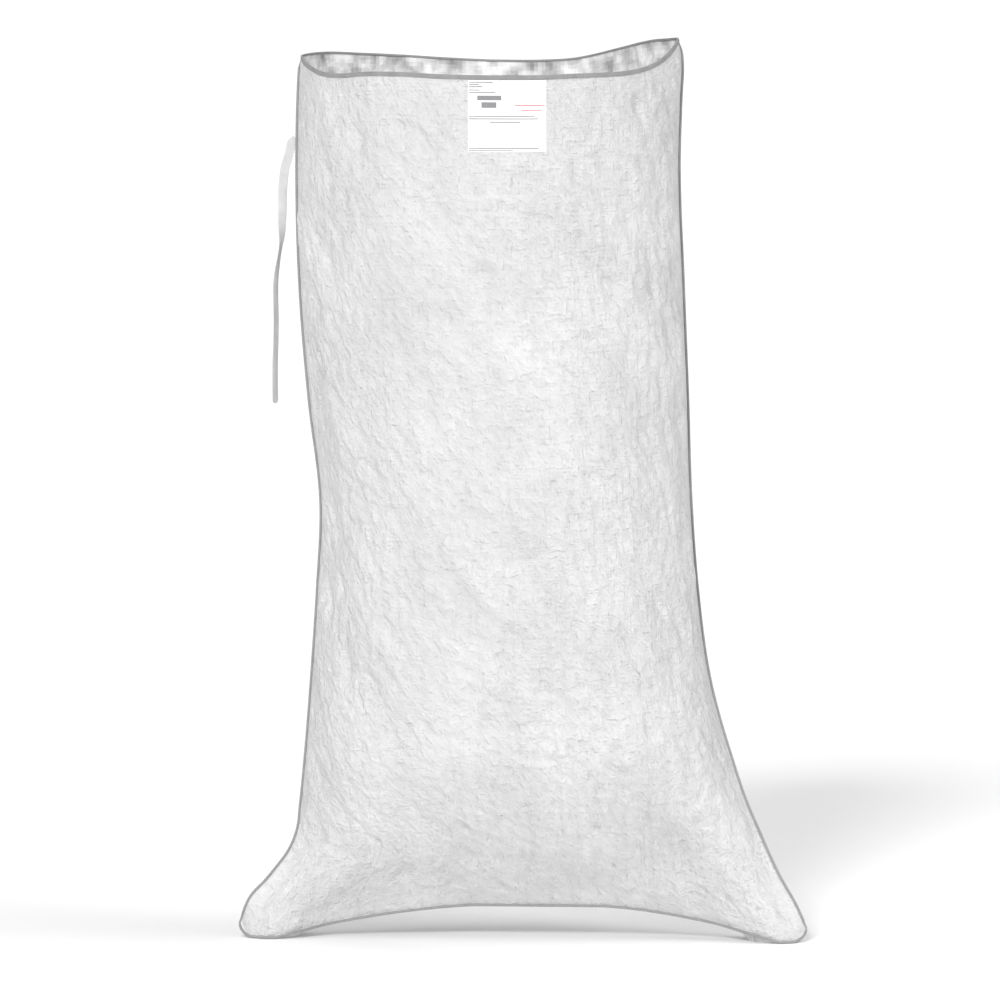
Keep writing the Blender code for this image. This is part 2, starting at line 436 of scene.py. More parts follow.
        foot = self.foot_share(inset)
        spread = self.foot_half_depth * foot * hump(height, self.foot_fade)
        sink = self.foot_sink * foot * foot * smooth(height / self.foot_touch)
        sink = sink * hump(height, self.foot_sink_fade)
        back = np.sin(angle) > 0
        behind = y + spread * (2 * smooth(height / self.foot_heel) - 1)
        y = np.where(back, behind, -y - spread)
        z = np.where(back, z - sink, z)
        y = y - self.twist * x / self.seam_right * (1 - smooth(height / self.twist_fade))
        return np.stack((x, y, np.maximum(z, 0.0)), axis=-1)

    def angle_of(self, around: np.ndarray, height: np.ndarray) -> np.ndarray:
        """Angle of a place on the cloth.

        Args:
            around: distances round the sack.
            height: heights above the bottom fold.

        Returns:
            Angles from 0 to pi, below 0 on the front layer.
        """
        girth = 2 * self.flat_width
        around = np.mod(around, girth)
        front = around < self.flat_width
        share = np.where(front, around, girth - around) / self.flat_width
        level = np.clip(height / self.mouth_height, 0.0, 1.0)
        row = self.table_rows * level ** (1 / self.table_power)
        angle = interpolate(self.angles, row, share * self.table_columns, looped=False)
        return np.where(front, -angle, angle)

    def around_at(self, x: np.ndarray, height: np.ndarray) -> np.ndarray:
        """Distance round the sack of places on the front.

        Args:
            x: the places' x.
            height: their heights above the bottom fold.

        Returns:
            The distance round the sack of each place.
        """
        left, right = self.side_edges(height)
        wanted = np.arccos(np.clip((2 * x - left - right) / (right - left), -1.0, 1.0))
        tries = np.linspace(0.0, self.flat_width, self.width_points)
        flat = [
            np.interp(-angle, self.angle_of(tries, np.full(tries.shape, level)), tries)
            for angle, level in zip(wanted.ravel(), height.ravel())
        ]
        return np.array(flat).reshape(x.shape)

    def surface(self, around: np.ndarray, height: np.ndarray) -> np.ndarray:
        """Points of the cloth at distances round the sack and heights."""
        around, height = np.broadcast_arrays(np.asarray(around, float), np.asarray(height, float))
        return self.point(self.angle_of(around, height), height)

    def normals(self, around: np.ndarray, height: np.ndarray) -> np.ndarray:
        """Directions out of the cloth.

        Args:
            around: distances round the sack.
            height: heights above the bottom fold.

        Returns:
            One direction of length 1 for each place.
        """
        across = self.surface(around + self.near, height) - self.surface(around - self.near, height)
        low = np.maximum(height - self.near, 0.0)
        up = self.surface(around, height + self.near) - self.surface(around, low)
        return unit(np.cross(across, up))

    def fold(self, angle: np.ndarray, height: np.ndarray) -> tuple[np.ndarray, np.ndarray]:
        """Folded edge of the cloth, and the directions out of it that lie between its two layers.

        Args:
            angle: angles from 0 to pi along the edge.
            height: heights above the bottom fold, 0 on the bottom fold itself.

        Returns:
            The points of the edge and the directions.
        """
        points = self.point(angle, height)
        along = unit(np.gradient(points, axis=0))
        reach = np.clip(angle, self.fold_reach, math.pi - self.fold_reach)
        level = np.maximum(height, self.lowest_section)
        front = unit(self.point(-reach, level) - points)
        back = unit(self.point(reach, level) - points)
        inward = front + back
        outward = (inward * along).sum(axis=1, keepdims=True) * along - inward
        return points, unit(outward)


@dataclass
class Relief:
    """Crumples and folds of the cloth, as heights out of its smooth shape."""

    shape: SackShape
    # Grid of the random heights, which reaches a little above the mouth
    step: float = 0.002
    spare: float = 0.0485
    longest_wave: float = 1000.0
    ridge_level: float = 0.8
    # Crumples: wavelength, spread, seed, share of sharp ridges and height, and the way they lean
    crumples: tuple = (
        (0.170, 0.30, 3, 0.0, 0.00120),
        (0.085, 0.28, 5, 0.4, 0.00105),
        (0.042, 0.28, 7, 0.5, 0.00084),
        (0.022, 0.25, 9, 0.3, 0.00054),
        (0.013, 0.20, 11, 0.1, 0.00026),
    )
    lean: float = math.radians(34)
    even_share: float = 0.2
    # Where the relief fades out
    seam_fade: float = 0.030
    rim_clear: float = 0.010
    rim_fade: float = 0.018
    rim_fade_broad: float = 0.10
    bottom_fade: float = 0.030
    # Level creases from the bale, with the wavelength, spread and seed of what varies them
    creases: tuple = (0.767, 0.414)
    crease_line: tuple = (0.24, 0.30, 21)
    crease_break: tuple = (0.12, 0.30, 23)
    crease_height: float = 0.0007
    crease_width: float = 0.0045
    crease_wander: float = 0.0015
    crease_strength: tuple = (0.65, 0.35)
    # Folds that fan out of the bottom corners: where they start and end, and how they turn
    foot_height: float = 0.0030
    foot_start: float = 0.060
    foot_reach: float = 0.130
    foot_rate: float = 11.0
    foot_curl: float = 6.0
    foot_phases: tuple = (0.4, 1.9)
    # Upright folds of the back: height, radians across the layer and phase, and how they wander
    back_waves: tuple = ((0.0030, 17.0, 0.0), (0.0016, 31.0, 1.2))
    back_line: tuple = (0.30, 0.30, 31)
    back_margin: float = 0.25
    back_lean: float = 0.10
    back_wander: float = 0.02
    back_power: float = 0.7
    # Buckle at the bend of the left side fold
    buckle_level: float = 0.500
    buckle_slope: float = 0.22
    buckle_depth: float = 0.0022
    buckle_width: float = 0.016
    buckle_reach: float = 0.110
    buckle_start: float = 0.03
    # Calm cloth under the label: the share that stays, the left, right and bottom edge, the margin
    label_share: float = 0.15
    label_box: tuple = (-0.066, 0.028, 0.980)
    label_margin: float = 0.012
    grids: dict = field(default_factory=dict)

    def noise(
        self, wave: float, spread: float, seed: int, ridged: float = 0.0, even: float = 1.0
    ) -> np.ndarray:
        """Seeded random heights on a grid that closes on itself round the sack.

        Args:
            wave: wavelength in metres where the heights are strongest.
            spread: how far other wavelengths reach, as a share of an e-fold.
            seed: seed of the random numbers.
            ridged: share of sharp ridges, from 0 to 1.
            even: share of the waves across the leaning ones, 1 where none is favoured.

        Returns:
            Grid of heights with a deviation of 1, kept for the next call.
        """
        key = (wave, spread, seed, ridged, even)
        if key in self.grids:
            return self.grids[key]
        columns = int(round(2 * self.shape.flat_width / self.step))
        rows = int(round((self.shape.mouth_height + self.spare) / self.step))
        random = np.random.default_rng(seed)
        white = np.fft.fft2(random.standard_normal((rows, columns)))
        across, up = np.meshgrid(np.fft.fftfreq(columns, self.step), np.fft.fftfreq(rows, self.step))
        density = np.maximum(np.hypot(across, up), 1 / self.longest_wave)
        gain = np.exp(-((np.log(density * wave) / spread) ** 2) / 2)
        gain = gain * (even + (1 - even) * np.cos(np.arctan2(up, across) - self.lean) ** 2)
        made = np.fft.ifft2(white * gain).real
        made = made / made.std()
        ridges = self.ridge_level - np.abs(made)
        made = (1 - ridged) * made + ridged * ridges / ridges.std()
        self.grids[key] = made / made.std()
        return self.grids[key]

    def read(self, grid: np.ndarray, around: np.ndarray, height: np.ndarray) -> np.ndarray:
        """Heights of a grid on the cloth.

        Args:
            grid: grid of heights that closes on itself round the sack.
            around: distances round the sack.
            height: heights above the bottom fold.

        Returns:
            One height for each place.
        """
        rows, columns = grid.shape
        column = np.mod(around / self.step, columns)
        # A little short of the last row, so that there is one above
        row = np.clip(height / self.step, 0.0, rows - 1.001)
        return interpolate(grid, row, column, looped=True)

    def crumple(self, around: np.ndarray, height: np.ndarray) -> np.ndarray:
        """Crumples of the whole cloth, from broad ones to creases of a centimetre.

        Args:
            around: distances round the sack.
            height: heights above the bottom fold.

        Returns:
            The crumples' height at each place.
        """
        total = 0.0
        for wave, spread, seed, ridged, size in self.crumples:
            grid = self.noise(wave, spread, seed, ridged, self.even_share)
            total = total + size * self.read(grid, around, height)
        return total

    def shipping_creases(self, around: np.ndarray, height: np.ndarray) -> np.ndarray:
        """Level creases where the sack was folded flat in its bale.

        Args:
            around: distances round the sack.
            height: heights above the bottom fold.

        Returns:
            The creases' height at each place.
        """
        wander = self.read(self.noise(*self.crease_line), around, height)
        wave, spread, seed = self.crease_break
        middle, change = self.crease_strength
        total = 0.0
        for index, level in enumerate(self.creases):
            breaks = self.read(self.noise(wave, spread, seed + index), around, height)
            strength = middle + change * breaks
            off = np.abs(height - level - self.crease_wander * wander)
            total = total + self.crease_height * strength * np.exp(-off / self.crease_width)
        return total

    def foot_folds(self, around: np.ndarray, height: np.ndarray) -> np.ndarray:
        """Shallow folds that fan out of the two bottom corners.

        Args:
            around: distances round the sack.
            height: heights above the bottom fold.

        Returns:
            The folds' height at each place.
        """
        width = self.shape.flat_width
        side = np.mod(around, width)
        total = 0.0
        for inset, phase in zip((side, width - side), self.foot_phases):
            reach = np.hypot(inset, height)
            turn = np.arctan2(height, inset)
            strength = smooth(reach / self.foot_start) * np.exp(-reach / self.foot_reach)
            fan = np.cos(self.foot_rate * turn + phase + self.foot_curl * reach)
            total = total + self.foot_height * strength * fan
        return total

    def back_folds(self, around: np.ndarray, height: np.ndarray) -> np.ndarray:
        """Soft upright folds of the back layer, deepest at half height.

        Args:
            around: distances round the sack.
            height: heights above the bottom fold.

        Returns:
            The folds' height at each place, 0 on the front layer.
        """
        share = np.clip((np.mod(around, 2 * self.shape.flat_width) / self.shape.flat_width) - 1, 0, 1)
        level = height / self.shape.mouth_height
        strength = smooth(share / self.back_margin) * smooth((1 - share) / self.back_margin)
        strength = strength * np.sin(math.pi * np.clip(level, 0, 1)) ** self.back_power
        wander = self.read(self.noise(*self.back_line), around, height)
        lean = share + self.back_lean * level + self.back_wander * wander
        waves = [size * np.cos(turns * lean + phase) for size, turns, phase in self.back_waves]
        return strength * sum(waves)

    def buckle(self, around: np.ndarray, height: np.ndarray) -> np.ndarray:
        """Shallow buckle that runs in from the bend of the left side fold, on both layers.

        Args:
            around: distances round the sack.
            height: heights above the bottom fold.

        Returns:
            The buckle's height at each place, below 0.
        """
        girth = 2 * self.shape.flat_width
        place = np.mod(around + self.shape.flat_width, girth) - self.shape.flat_width
        inset = np.abs(place)
        off = height - self.buckle_level + self.buckle_slope * inset
        along = np.exp(-inset / self.buckle_reach) * smooth(inset / self.buckle_start)
        return -self.buckle_depth * hump(off, self.buckle_width) * along

    def label_calm(self, around: np.ndarray, height: np.ndarray) -> np.ndarray:
        """Share of the crumples that stays, less under the label, which stiffens the cloth.

        Args:
            around: distances round the sack.
            height: heights above the bottom fold.

        Returns:
            Shares up to 1.
        """
        left, right, bottom = self.label_box
        margin = self.label_margin
        x = self.shape.surface(around, height)[..., 0]
        front = np.mod(around, 2 * self.shape.flat_width) < self.shape.flat_width
        beside = smooth((x - left + margin) / margin) * smooth((right + margin - x) / margin)
        under = beside * smooth((height - bottom + margin) / margin) * front
        return 1 - (1 - self.label_share) * under

    def height_at(self, around: np.ndarray, height: np.ndarray) -> np.ndarray:
        """Height of the cloth out of its smooth shape.

        Args:
            around: distances round the sack.
            height: heights above the bottom fold.

        Returns:
            Heights in metres, fading to nothing at the folds, the rim and the bottom.
        """
        side = np.mod(around, self.shape.flat_width)
        edge = np.minimum(side, self.shape.flat_width - side)
        below = self.shape.mouth_height - height - self.rim_clear
        fade = smooth(edge / self.seam_fade) * smooth(below / self.rim_fade)
        fade = fade * smooth(height / self.bottom_fade)
        total = self.crumple(around, height) + self.shipping_creases(around, height)
        total = total + self.foot_folds(around, height) + self.buckle(around, height)
        back = smooth(below / self.rim_fade_broad) * self.back_folds(around, height)
        return fade * self.label_calm(around, height) * (total + back)


def add_mesh(name: str, points: np.ndarray, faces: np.ndarray, uv: np.ndarray) -> bpy.types.Object:
    """Mesh object of four-sided faces.

    Args:
        name: name of the object.
        points: one row for each point.
        faces: one row of four point numbers for each face.
        uv: one row for each corner of each face, in the faces' order.

    Returns:
        The object, shaded smooth and linked to the scene.
    """
    mesh = bpy.data.meshes.new(name)
    mesh.from_pydata(points.tolist(), [], faces.tolist())
    layer = mesh.uv_layers.new(name=UV_NAME)
    layer.data.foreach_set("uv", uv.astype(np.float32).ravel())
    mesh.shade_smooth()
    made = bpy.data.objects.new(name, mesh)
    bpy.context.scene.collection.objects.link(made)
    return made


def grid_faces(rows: int, columns: int) -> np.ndarray:
    """Faces of a grid of points, turned so that they point to the front.

    Args:
        rows: number of faces up the grid.
        columns: number of faces across it.

    Returns:
        One row of four point numbers for each face.
    """
    row, column = np.mgrid[0:rows, 0:columns]
    first = (row * (columns + 1) + column).ravel()
    return np.stack((first, first + 1, first + columns + 2, first + columns + 1), axis=1)


def loft(name: str, rings: np.ndarray, looped: bool) -> bpy.types.Object:
    """Closed skin over rings of points.

    Args:
        name: name of the object.
        rings: one ring of points after another, each ring closed.
        looped: True if the last ring joins the first, False if both ends are closed by a face.

    Returns:
        The object, with a UV map in metres: along the rings, then round each ring.
    """
    count, sides = rings.shape[:2]
    middles = rings.mean(axis=1)
    if looped:
        middles = np.concatenate((middles, middles[:1]))
    along = lengths_along(middles)
    around = lengths_along(np.concatenate((rings[0], rings[0][:1])))
    ring, side = np.mgrid[0 : count if looped else count - 1, 0:sides]
    ring, side = ring.ravel(), side.ravel()
    after, beside = (ring + 1) % count, (side + 1) % sides
    faces = np.stack(
        (ring * sides + side, ring * sides + beside, after * sides + beside, after * sides + side),
        axis=1,
    )
    corners = ((0, 0), (0, 1), (1, 1), (1, 0))
    uv = np.stack([np.stack((along[ring + i], around[side + j]), axis=1) for i, j in corners], axis=1)
    made = add_mesh(name, rings.reshape(-1, 3), faces, uv)
    if not looped:
        close_ends(made)
    face_outwards(made)
    return made


def deselect() -> None:
    """Deselect every object."""
    for other in bpy.context.scene.objects:
        other.select_set(False)


def make_active(made: bpy.types.Object) -> None:
    """Select one object alone and make it the active one."""
    deselect()
    made.select_set(True)
    bpy.context.view_layer.objects.active = made


def close_ends(made: bpy.types.Object) -> None:
    """Close the open ends of a tube with one face each."""
    make_active(made)
    bpy.ops.object.mode_set(mode="EDIT")
    bpy.ops.mesh.select_mode(type="EDGE")
    bpy.ops.mesh.select_all(action="DESELECT")
    bpy.ops.mesh.select_non_manifold()
    bpy.ops.mesh.edge_face_add()
    bpy.ops.object.mode_set(mode="OBJECT")


def face_outwards(made: bpy.types.Object) -> None:
    """Turn all faces of a closed mesh outwards."""
    make_active(made)
    bpy.ops.object.mode_set(mode="EDIT")
    bpy.ops.mesh.select_all(action="SELECT")
    bpy.ops.mesh.normals_make_consistent(inside=False)
    bpy.ops.mesh.select_all(action="DESELECT")
    bpy.ops.object.mode_set(mode="OBJECT")


def apply_wall(made: bpy.types.Object, thickness: float, inner_slot: int, group: str = "") -> None:
    """Give an open sheet its thickness, on the side away from its faces.

    Args:
        made: the sheet.
        thickness: thickness in metres.
        inner_slot: how many material slots further the new faces read.
        group: vertex group that thins the wall, or nothing.
    """
    wall = made.modifiers.new("wall", "SOLIDIFY")
    wall.thickness = thickness
    wall.offset = -1.0
    wall.use_even_offset = False
    wall.material_offset = inner_slot
    wall.vertex_group = group
    wall.thickness_vertex_group = THINNEST_WALL if group else 0.0
    make_active(made)
    bpy.ops.object.modifier_apply(modifier=wall.name)


def dress(made: bpy.types.Object, slot: str, *materials: bpy.types.Material) -> None:
    """Give a piece its sharp edges, its materials and its place on the sack's one body.

    Args:
        made: the piece.
        slot: the record's material slot; not used.
        materials: the materials in slot order.
    """
    made.data.set_sharp_from_angle(angle=SHARP_ANGLE)
    for material in materials:
        made.data.materials.append(material)
    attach(made, "root")


def report(made: bpy.types.Object) -> None:
    """Log a finished piece and its number of triangles."""
    made.data.calc_loop_triangles()
    log.info("%s: %d triangles", made.name, len(made.data.loop_triangles))


class NodeSheet:
    """Material whose nodes are added and linked by short calls."""

    def __init__(self, name: str) -> None:
        """Start a material with one Principled shader."""
        self.material = bpy.data.materials.new(name)
        self.material.use_nodes = True
        self.tree = self.material.node_tree
        self.shader = self.tree.nodes["Principled BSDF"]

    def feed(self, node: bpy.types.Node, inputs: dict) -> None:
        """Link or set the inputs of a node.

        Args:
            node: the node.
            inputs: a socket to link or a value for each input's name or number.
        """
        for name, value in inputs.items():
            if isinstance(value, Socket):
                self.tree.links.new(value, node.inputs[name])
            else:
                node.inputs[name].default_value = value

    def add(self, kind: str, inputs: dict, output: int | str = 0, **settings: object) -> Socket:
        """Add a node.

        Args:
            kind: type of the node, without its prefix.
            inputs: its inputs, each a socket to link or a value.
            output: the output that is wanted.
            settings: the node's own settings.

        Returns:
            That output.
        """
        node = self.tree.nodes.new("ShaderNode" + kind)
        for name, value in settings.items():
            setattr(node, name, value)
        self.feed(node, inputs)
        return node.outputs[output]

    def uv(self) -> Socket:
        """Place on the cloth in metres, from the piece's own UV map."""
        return self.add("UVMap", {}, uv_map=UV_NAME)

    def split(self, vector: Socket) -> tuple[Socket, Socket]:
        """X and Y of a vector."""
        node = self.tree.nodes.new("ShaderNodeSeparateXYZ")
        self.feed(node, {"Vector": vector})
        return node.outputs["X"], node.outputs["Y"]

    def stretched(self, vector: Socket, turn: float, across: float, along: float) -> Socket:
        """Pattern place turned and stretched, in the plane of the cloth."""
        inputs = {"Vector": vector, "Rotation": (0.0, 0.0, turn), "Scale": (across, along, 1.0)}
        return self.add("Mapping", inputs, vector_type="TEXTURE")

    def noise(self, vector: Socket, scale: float, detail: float = 3.0, rough: float = 0.5) -> Socket:
        """Soft random pattern from 0 to 1."""
        inputs = {"Vector": vector, "Scale": scale, "Detail": detail, "Roughness": rough}
        return self.add("TexNoise", inputs, noise_dimensions="2D")

    def math(self, operation: str, first: Socket | float, second: Socket | float = 0.0) -> Socket:
        """Result of one sum of two values."""
        return self.add("Math", {0: first, 1: second}, operation=operation)

    def weigh(self, *parts: tuple[Socket, float]) -> Socket:
        """Sum of several patterns.

        Args:
            parts: each pattern and its weight.

        Returns:
            The weighted sum.
        """
        total = None
        for pattern, weight in parts:
            part = self.math("MULTIPLY", pattern, weight)
            total = part if total is None else self.math("ADD", total, part)
        return total

    def ramp(self, value: Socket, low: Colour, high: Colour, start: float, end: float) -> Socket:
        """Colour between two colours.

        Args:
            value: the value that drives the colour.
            low: colour up to the start.
            high: colour from the end on.
            start: value at which the colour begins to change.
            end: value at which it has changed.

        Returns:
            The colour.
        """
        node = self.tree.nodes.new("ShaderNodeValToRGB")
        node.color_ramp.elements[0].position = start
        node.color_ramp.elements[0].color = low
        node.color_ramp.elements[1].position = end
        node.color_ramp.elements[1].color = high
        self.feed(node, {"Fac": value})
        return node.outputs["Color"]

    def mix(self, factor: Socket, first: Socket | Colour, second: Socket | Colour) -> Socket:
        """Colour between two colours or patterns."""
        return self.add("Mix", {0: factor, 6: first, 7: second}, 2, data_type="RGBA")

    def spread(self, value: Socket, low: float, high: float) -> Socket:
        """Value from 0 to 1 spread to lie between low and high."""
        return self.add("MapRange", {"Value": value, "To Min": low, "To Max": high})

    def bump(self, height: Socket, distance: float, below: Socket | None = None) -> Socket:
        """Surface direction from a height pattern.

        Args:
            height: pattern of heights from 0 to 1.
            distance: height in metres that 1 stands for.
            below: surface direction that the pattern lies on.

        Returns:
            The surface direction.
        """
        inputs = {"Height": height, "Distance": distance, "Strength": 1.0}
        if below is not None:
            inputs["Normal"] = below
        return self.add("Bump", inputs)

    def weave(self, vector: Socket, tape: float, flatness: float = 0.5) -> Socket:
        """Plain weave of flat tapes.

        Args:
            vector: place on the cloth in metres.
            tape: width of a tape.
            flatness: power of a tape's crown, 1 where it is round and less where it is flat.

        Returns:
            Heights from 0 to 1.
        """
        crowns = []
        for place in self.split(vector):
            turns = self.math("MULTIPLY", place, math.pi / tape)
            crown = self.math("ABSOLUTE", self.math("SINE", turns))
            crowns.append(self.math("POWER", crown, flatness))
        over = self.add("TexChecker", {"Vector": vector, "Scale": 1 / tape}, "Fac")
        under = self.math("SUBTRACT", 1.0, over)
        first = self.math("MULTIPLY", crowns[0], over)
        return self.math("ADD", first, self.math("MULTIPLY", crowns[1], under))

    def finish(
        self, colour: Socket, rough: Socket | float, gloss: float, bend: Socket | None = None
    ) -> bpy.types.Material:
        """Give the shader its surface.

        Args:
            colour: base colour.
            rough: roughness from 0 to 1.
            gloss: specular level, 0.5 on an ordinary surface.
            bend: surface direction, or nothing where the surface is smooth.

        Returns:
            The finished material.
        """
        inputs = {"Base Color": colour, "Roughness": rough, "Specular IOR Level": gloss}
        if bend is not None:
            inputs["Normal"] = bend
        self.feed(self.shader, inputs)
        return self.material


@dataclass(frozen=True)
class WovenFinish:
    """Outer face of the white woven cloth."""

    dark: Colour = grey(0.560)
    light: Colour = grey(0.685)
    tone_range: tuple = (0.34, 0.66)
    roughness: tuple = (0.50, 0.64)
    gloss: float = 0.25
    # Patterns: scale, detail and roughness of each, and their shares in the tone; the crumples' share is
    # painted shade in their hollows
    patches: tuple = (13.0, 3.0, 0.55)
    crumples: tuple = (115.0, 5.0, 0.63)
    creases: tuple = (55.0, 3.0, 0.5)
    tapes: tuple = (330.0, 2.0, 0.5)
    shares: tuple = (0.45, 0.35, 0.10)
    # Lean and stretch of the patterns
    streak_lean: float = math.radians(-54)
    streak_width: float = 1.8
    crease_wander: float = 0.2
    tape_length: float = 14.0
    # Heights of the relief in metres, and the width of a tape
    crumple_height: float = 0.0052
    crease_height: float = 0.0014
    tape_height: float = 0.0010
    weave_height: float = 0.00006
    tape: float = 0.0025

    def make(self) -> bpy.types.Material:
        """White tapes with soft patches, leaning crumples with painted shade in their hollows, and the
        weave.
        """
        sheet = NodeSheet("woven_white")
        uv = sheet.uv()
        leaning = sheet.stretched(uv, self.streak_lean, self.streak_width, 1.0)
        patches = sheet.noise(leaning, *self.patches)
        crumples = sheet.noise(leaning, *self.crumples)
        inputs = dict(zip(("Scale", "Detail", "Roughness"), self.creases))
        inputs |= {"Vector": leaning, "Distortion": self.crease_wander}
        creases = sheet.add("TexNoise", inputs, noise_dimensions="2D", noise_type="RIDGED_MULTIFRACTAL")
        upright = sheet.noise(sheet.stretched(uv, 0.0, 1.0, self.tape_length), *self.tapes)
        level = sheet.noise(sheet.stretched(uv, 0.0, self.tape_length, 1.0), *self.tapes)
        tapes = sheet.math("ADD", upright, level)
        # Painted shade: the crumple pattern that lowers the bump also darkens the tone there
        tone = sheet.weigh(*zip((patches, crumples, tapes), self.shares))
        colour = sheet.ramp(tone, self.dark, self.light, *self.tone_range)
        bend = sheet.bump(creases, self.crease_height)
        bend = sheet.bump(crumples, self.crumple_height, bend)
        bend = sheet.bump(tapes, self.tape_height, bend)
        bend = sheet.bump(sheet.weave(uv, self.tape), self.weave_height, bend)
        return sheet.finish(colour, sheet.spread(crumples, *self.roughness), self.gloss, bend)


@dataclass(frozen=True)
class InnerPaintedShadeFinish:
    """Inner face of the cloth, with painted shade of its crinkles and painted light coming through the
    cloth, in mottled patches strongest near the mouth.
    """

    dark: Colour = grey(0.27)
    light: Colour = grey(0.90)
    tone_range: tuple = (0.33, 0.63)
    roughness: tuple = (0.5, 0.7)
    gloss: float = 0.2
    # Patterns of the painted mottled shade: scale, detail and roughness of each, their shares, and the
    # squares of the blocks
    blocks: tuple = (50.0, 3.0, 0.6)
    patches: tuple = (24.0, 3.0, 0.55)
    crumples: tuple = (95.0, 4.0, 0.6)
    shares: tuple = (0.5, 0.5)
    cell: float = 0.005
    # Painted mottled shade and light: the heights between which its contrast grows towards the mouth, its
    # least share, and the tone it varies about
    deep: float = 0.80
    near: float = 1.04
    least: float = 0.35
    middle: float = 0.48
    # Heights of the relief in metres, and the width of a tape
    crumple_height: float = 0.0016
    weave_height: float = 0.00008
    tape: float = 0.0025

    def make(self) -> bpy.types.Material:
        """Grey cloth mottled in small squares and broader patches of painted shade and light, whose
        contrast falls away from the mouth.
        """
        sheet = NodeSheet("woven_inside_painted_shade")
        uv = sheet.uv()
        squares = sheet.add("VectorMath", {0: uv, 1: (self.cell,) * 3}, operation="SNAP")
        blocks = sheet.noise(squares, *self.blocks)
        patches = sheet.noise(uv, *self.patches)
        # Painted shade and light: the mottling's contrast is least deep in the sack and full near the mouth
        height = sheet.split(uv)[1]
        painted_shade_fade = {"Value": height, "From Min": self.deep, "From Max": self.near, "To Min": self.least}
        share = sheet.add("MapRange", painted_shade_fade)
        tone = sheet.weigh(*zip((blocks, patches), self.shares))
        tone = sheet.math("MULTIPLY", sheet.math("SUBTRACT", tone, self.middle), share)
        tone = sheet.math("ADD", tone, self.middle)
        colour = sheet.ramp(tone, self.dark, self.light, *self.tone_range)
        bend = sheet.bump(sheet.noise(uv, *self.crumples), self.crumple_height)
        bend = sheet.bump(sheet.weave(uv, self.tape), self.weave_height, bend)
        return sheet.finish(colour, sheet.spread(patches, *self.roughness), self.gloss, bend)


@dataclass(frozen=True)
class TapeFinish:
    """Ribbed grey tape or ribbon."""

    name: str
    dark: Colour
    light: Colour
    rib: float
    rib_height: float
    tone_range: tuple = (0.32, 0.68)
    roughness: tuple = (0.72, 0.88)
    gloss: float = 0.2
    # Patterns: scale, detail and roughness of each, and their shares in the tone
    wear: tuple = (60.0, 4.0, 0.6)
    threads: tuple = (900.0, 2.0, 0.5)
    shares: tuple = (0.6, 0.4)
    thread_width: float = 0.25

    def make(self) -> bpy.types.Material:
        """Narrow cross ribs over a fine weave, with worn lighter patches."""
        sheet = NodeSheet(self.name)
        uv = sheet.uv()
        wear = sheet.noise(uv, *self.wear)
        threads = sheet.noise(sheet.stretched(uv, 0.0, self.thread_width, 1.0), *self.threads)
        tone = sheet.weigh(*zip((wear, threads), self.shares))
        colour = sheet.ramp(tone, self.dark, self.light, *self.tone_range)
        bend = sheet.bump(sheet.weave(uv, self.rib), self.rib_height)
        bend = sheet.bump(threads, self.rib_height, bend)
        return sheet.finish(colour, sheet.spread(wear, *self.roughness), self.gloss, bend)


@dataclass(frozen=True)
class ThreadFinish:
    """Twisted sewing thread or cord."""

    name: str
    dark: Colour
    light: Colour
    lay: float
    lay_height: float
    tone_range: tuple = (0.3, 0.7)
    roughness: tuple = (0.7, 0.9)
    gloss: float = 0.2
    # Patterns: scale, detail and roughness of the wear, detail and roughness of the fibres, shares
    wear: tuple = (70.0, 3.0, 0.5)
    fibres: tuple = (2.0, 0.6)
    shares: tuple = (0.5, 0.5)
    slant: float = 0.6
    fibre_length: float = 0.2

    def make(self) -> bpy.types.Material:
        """Fine slanting fibres over an uneven tone."""
        sheet = NodeSheet(self.name)
        uv = sheet.uv()
        slanted = sheet.stretched(uv, self.slant, 1.0, self.fibre_length)
        fibres = sheet.noise(slanted, 1 / self.lay, *self.fibres)
        wear = sheet.noise(uv, *self.wear)
        tone = sheet.weigh(*zip((wear, fibres), self.shares))
        colour = sheet.ramp(tone, self.dark, self.light, *self.tone_range)
        bend = sheet.bump(fibres, self.lay_height)
        return sheet.finish(colour, sheet.spread(wear, *self.roughness), self.gloss, bend)


@dataclass(frozen=True)
class Mark:
    """Plain printed bar on the label, in millimetres from its top left corner."""

    left: float
    right: float
    top: float
    bottom: float
    red: bool = False

    def spans(self) -> list[tuple[float, float]]:
        """Middle and half length in metres, across the label and down it."""
        sides = ((self.left, self.right), (self.top, self.bottom))
        return [((low + high) / 2 / PER_METRE, (high - low) / 2 / PER_METRE) for low, high in sides]


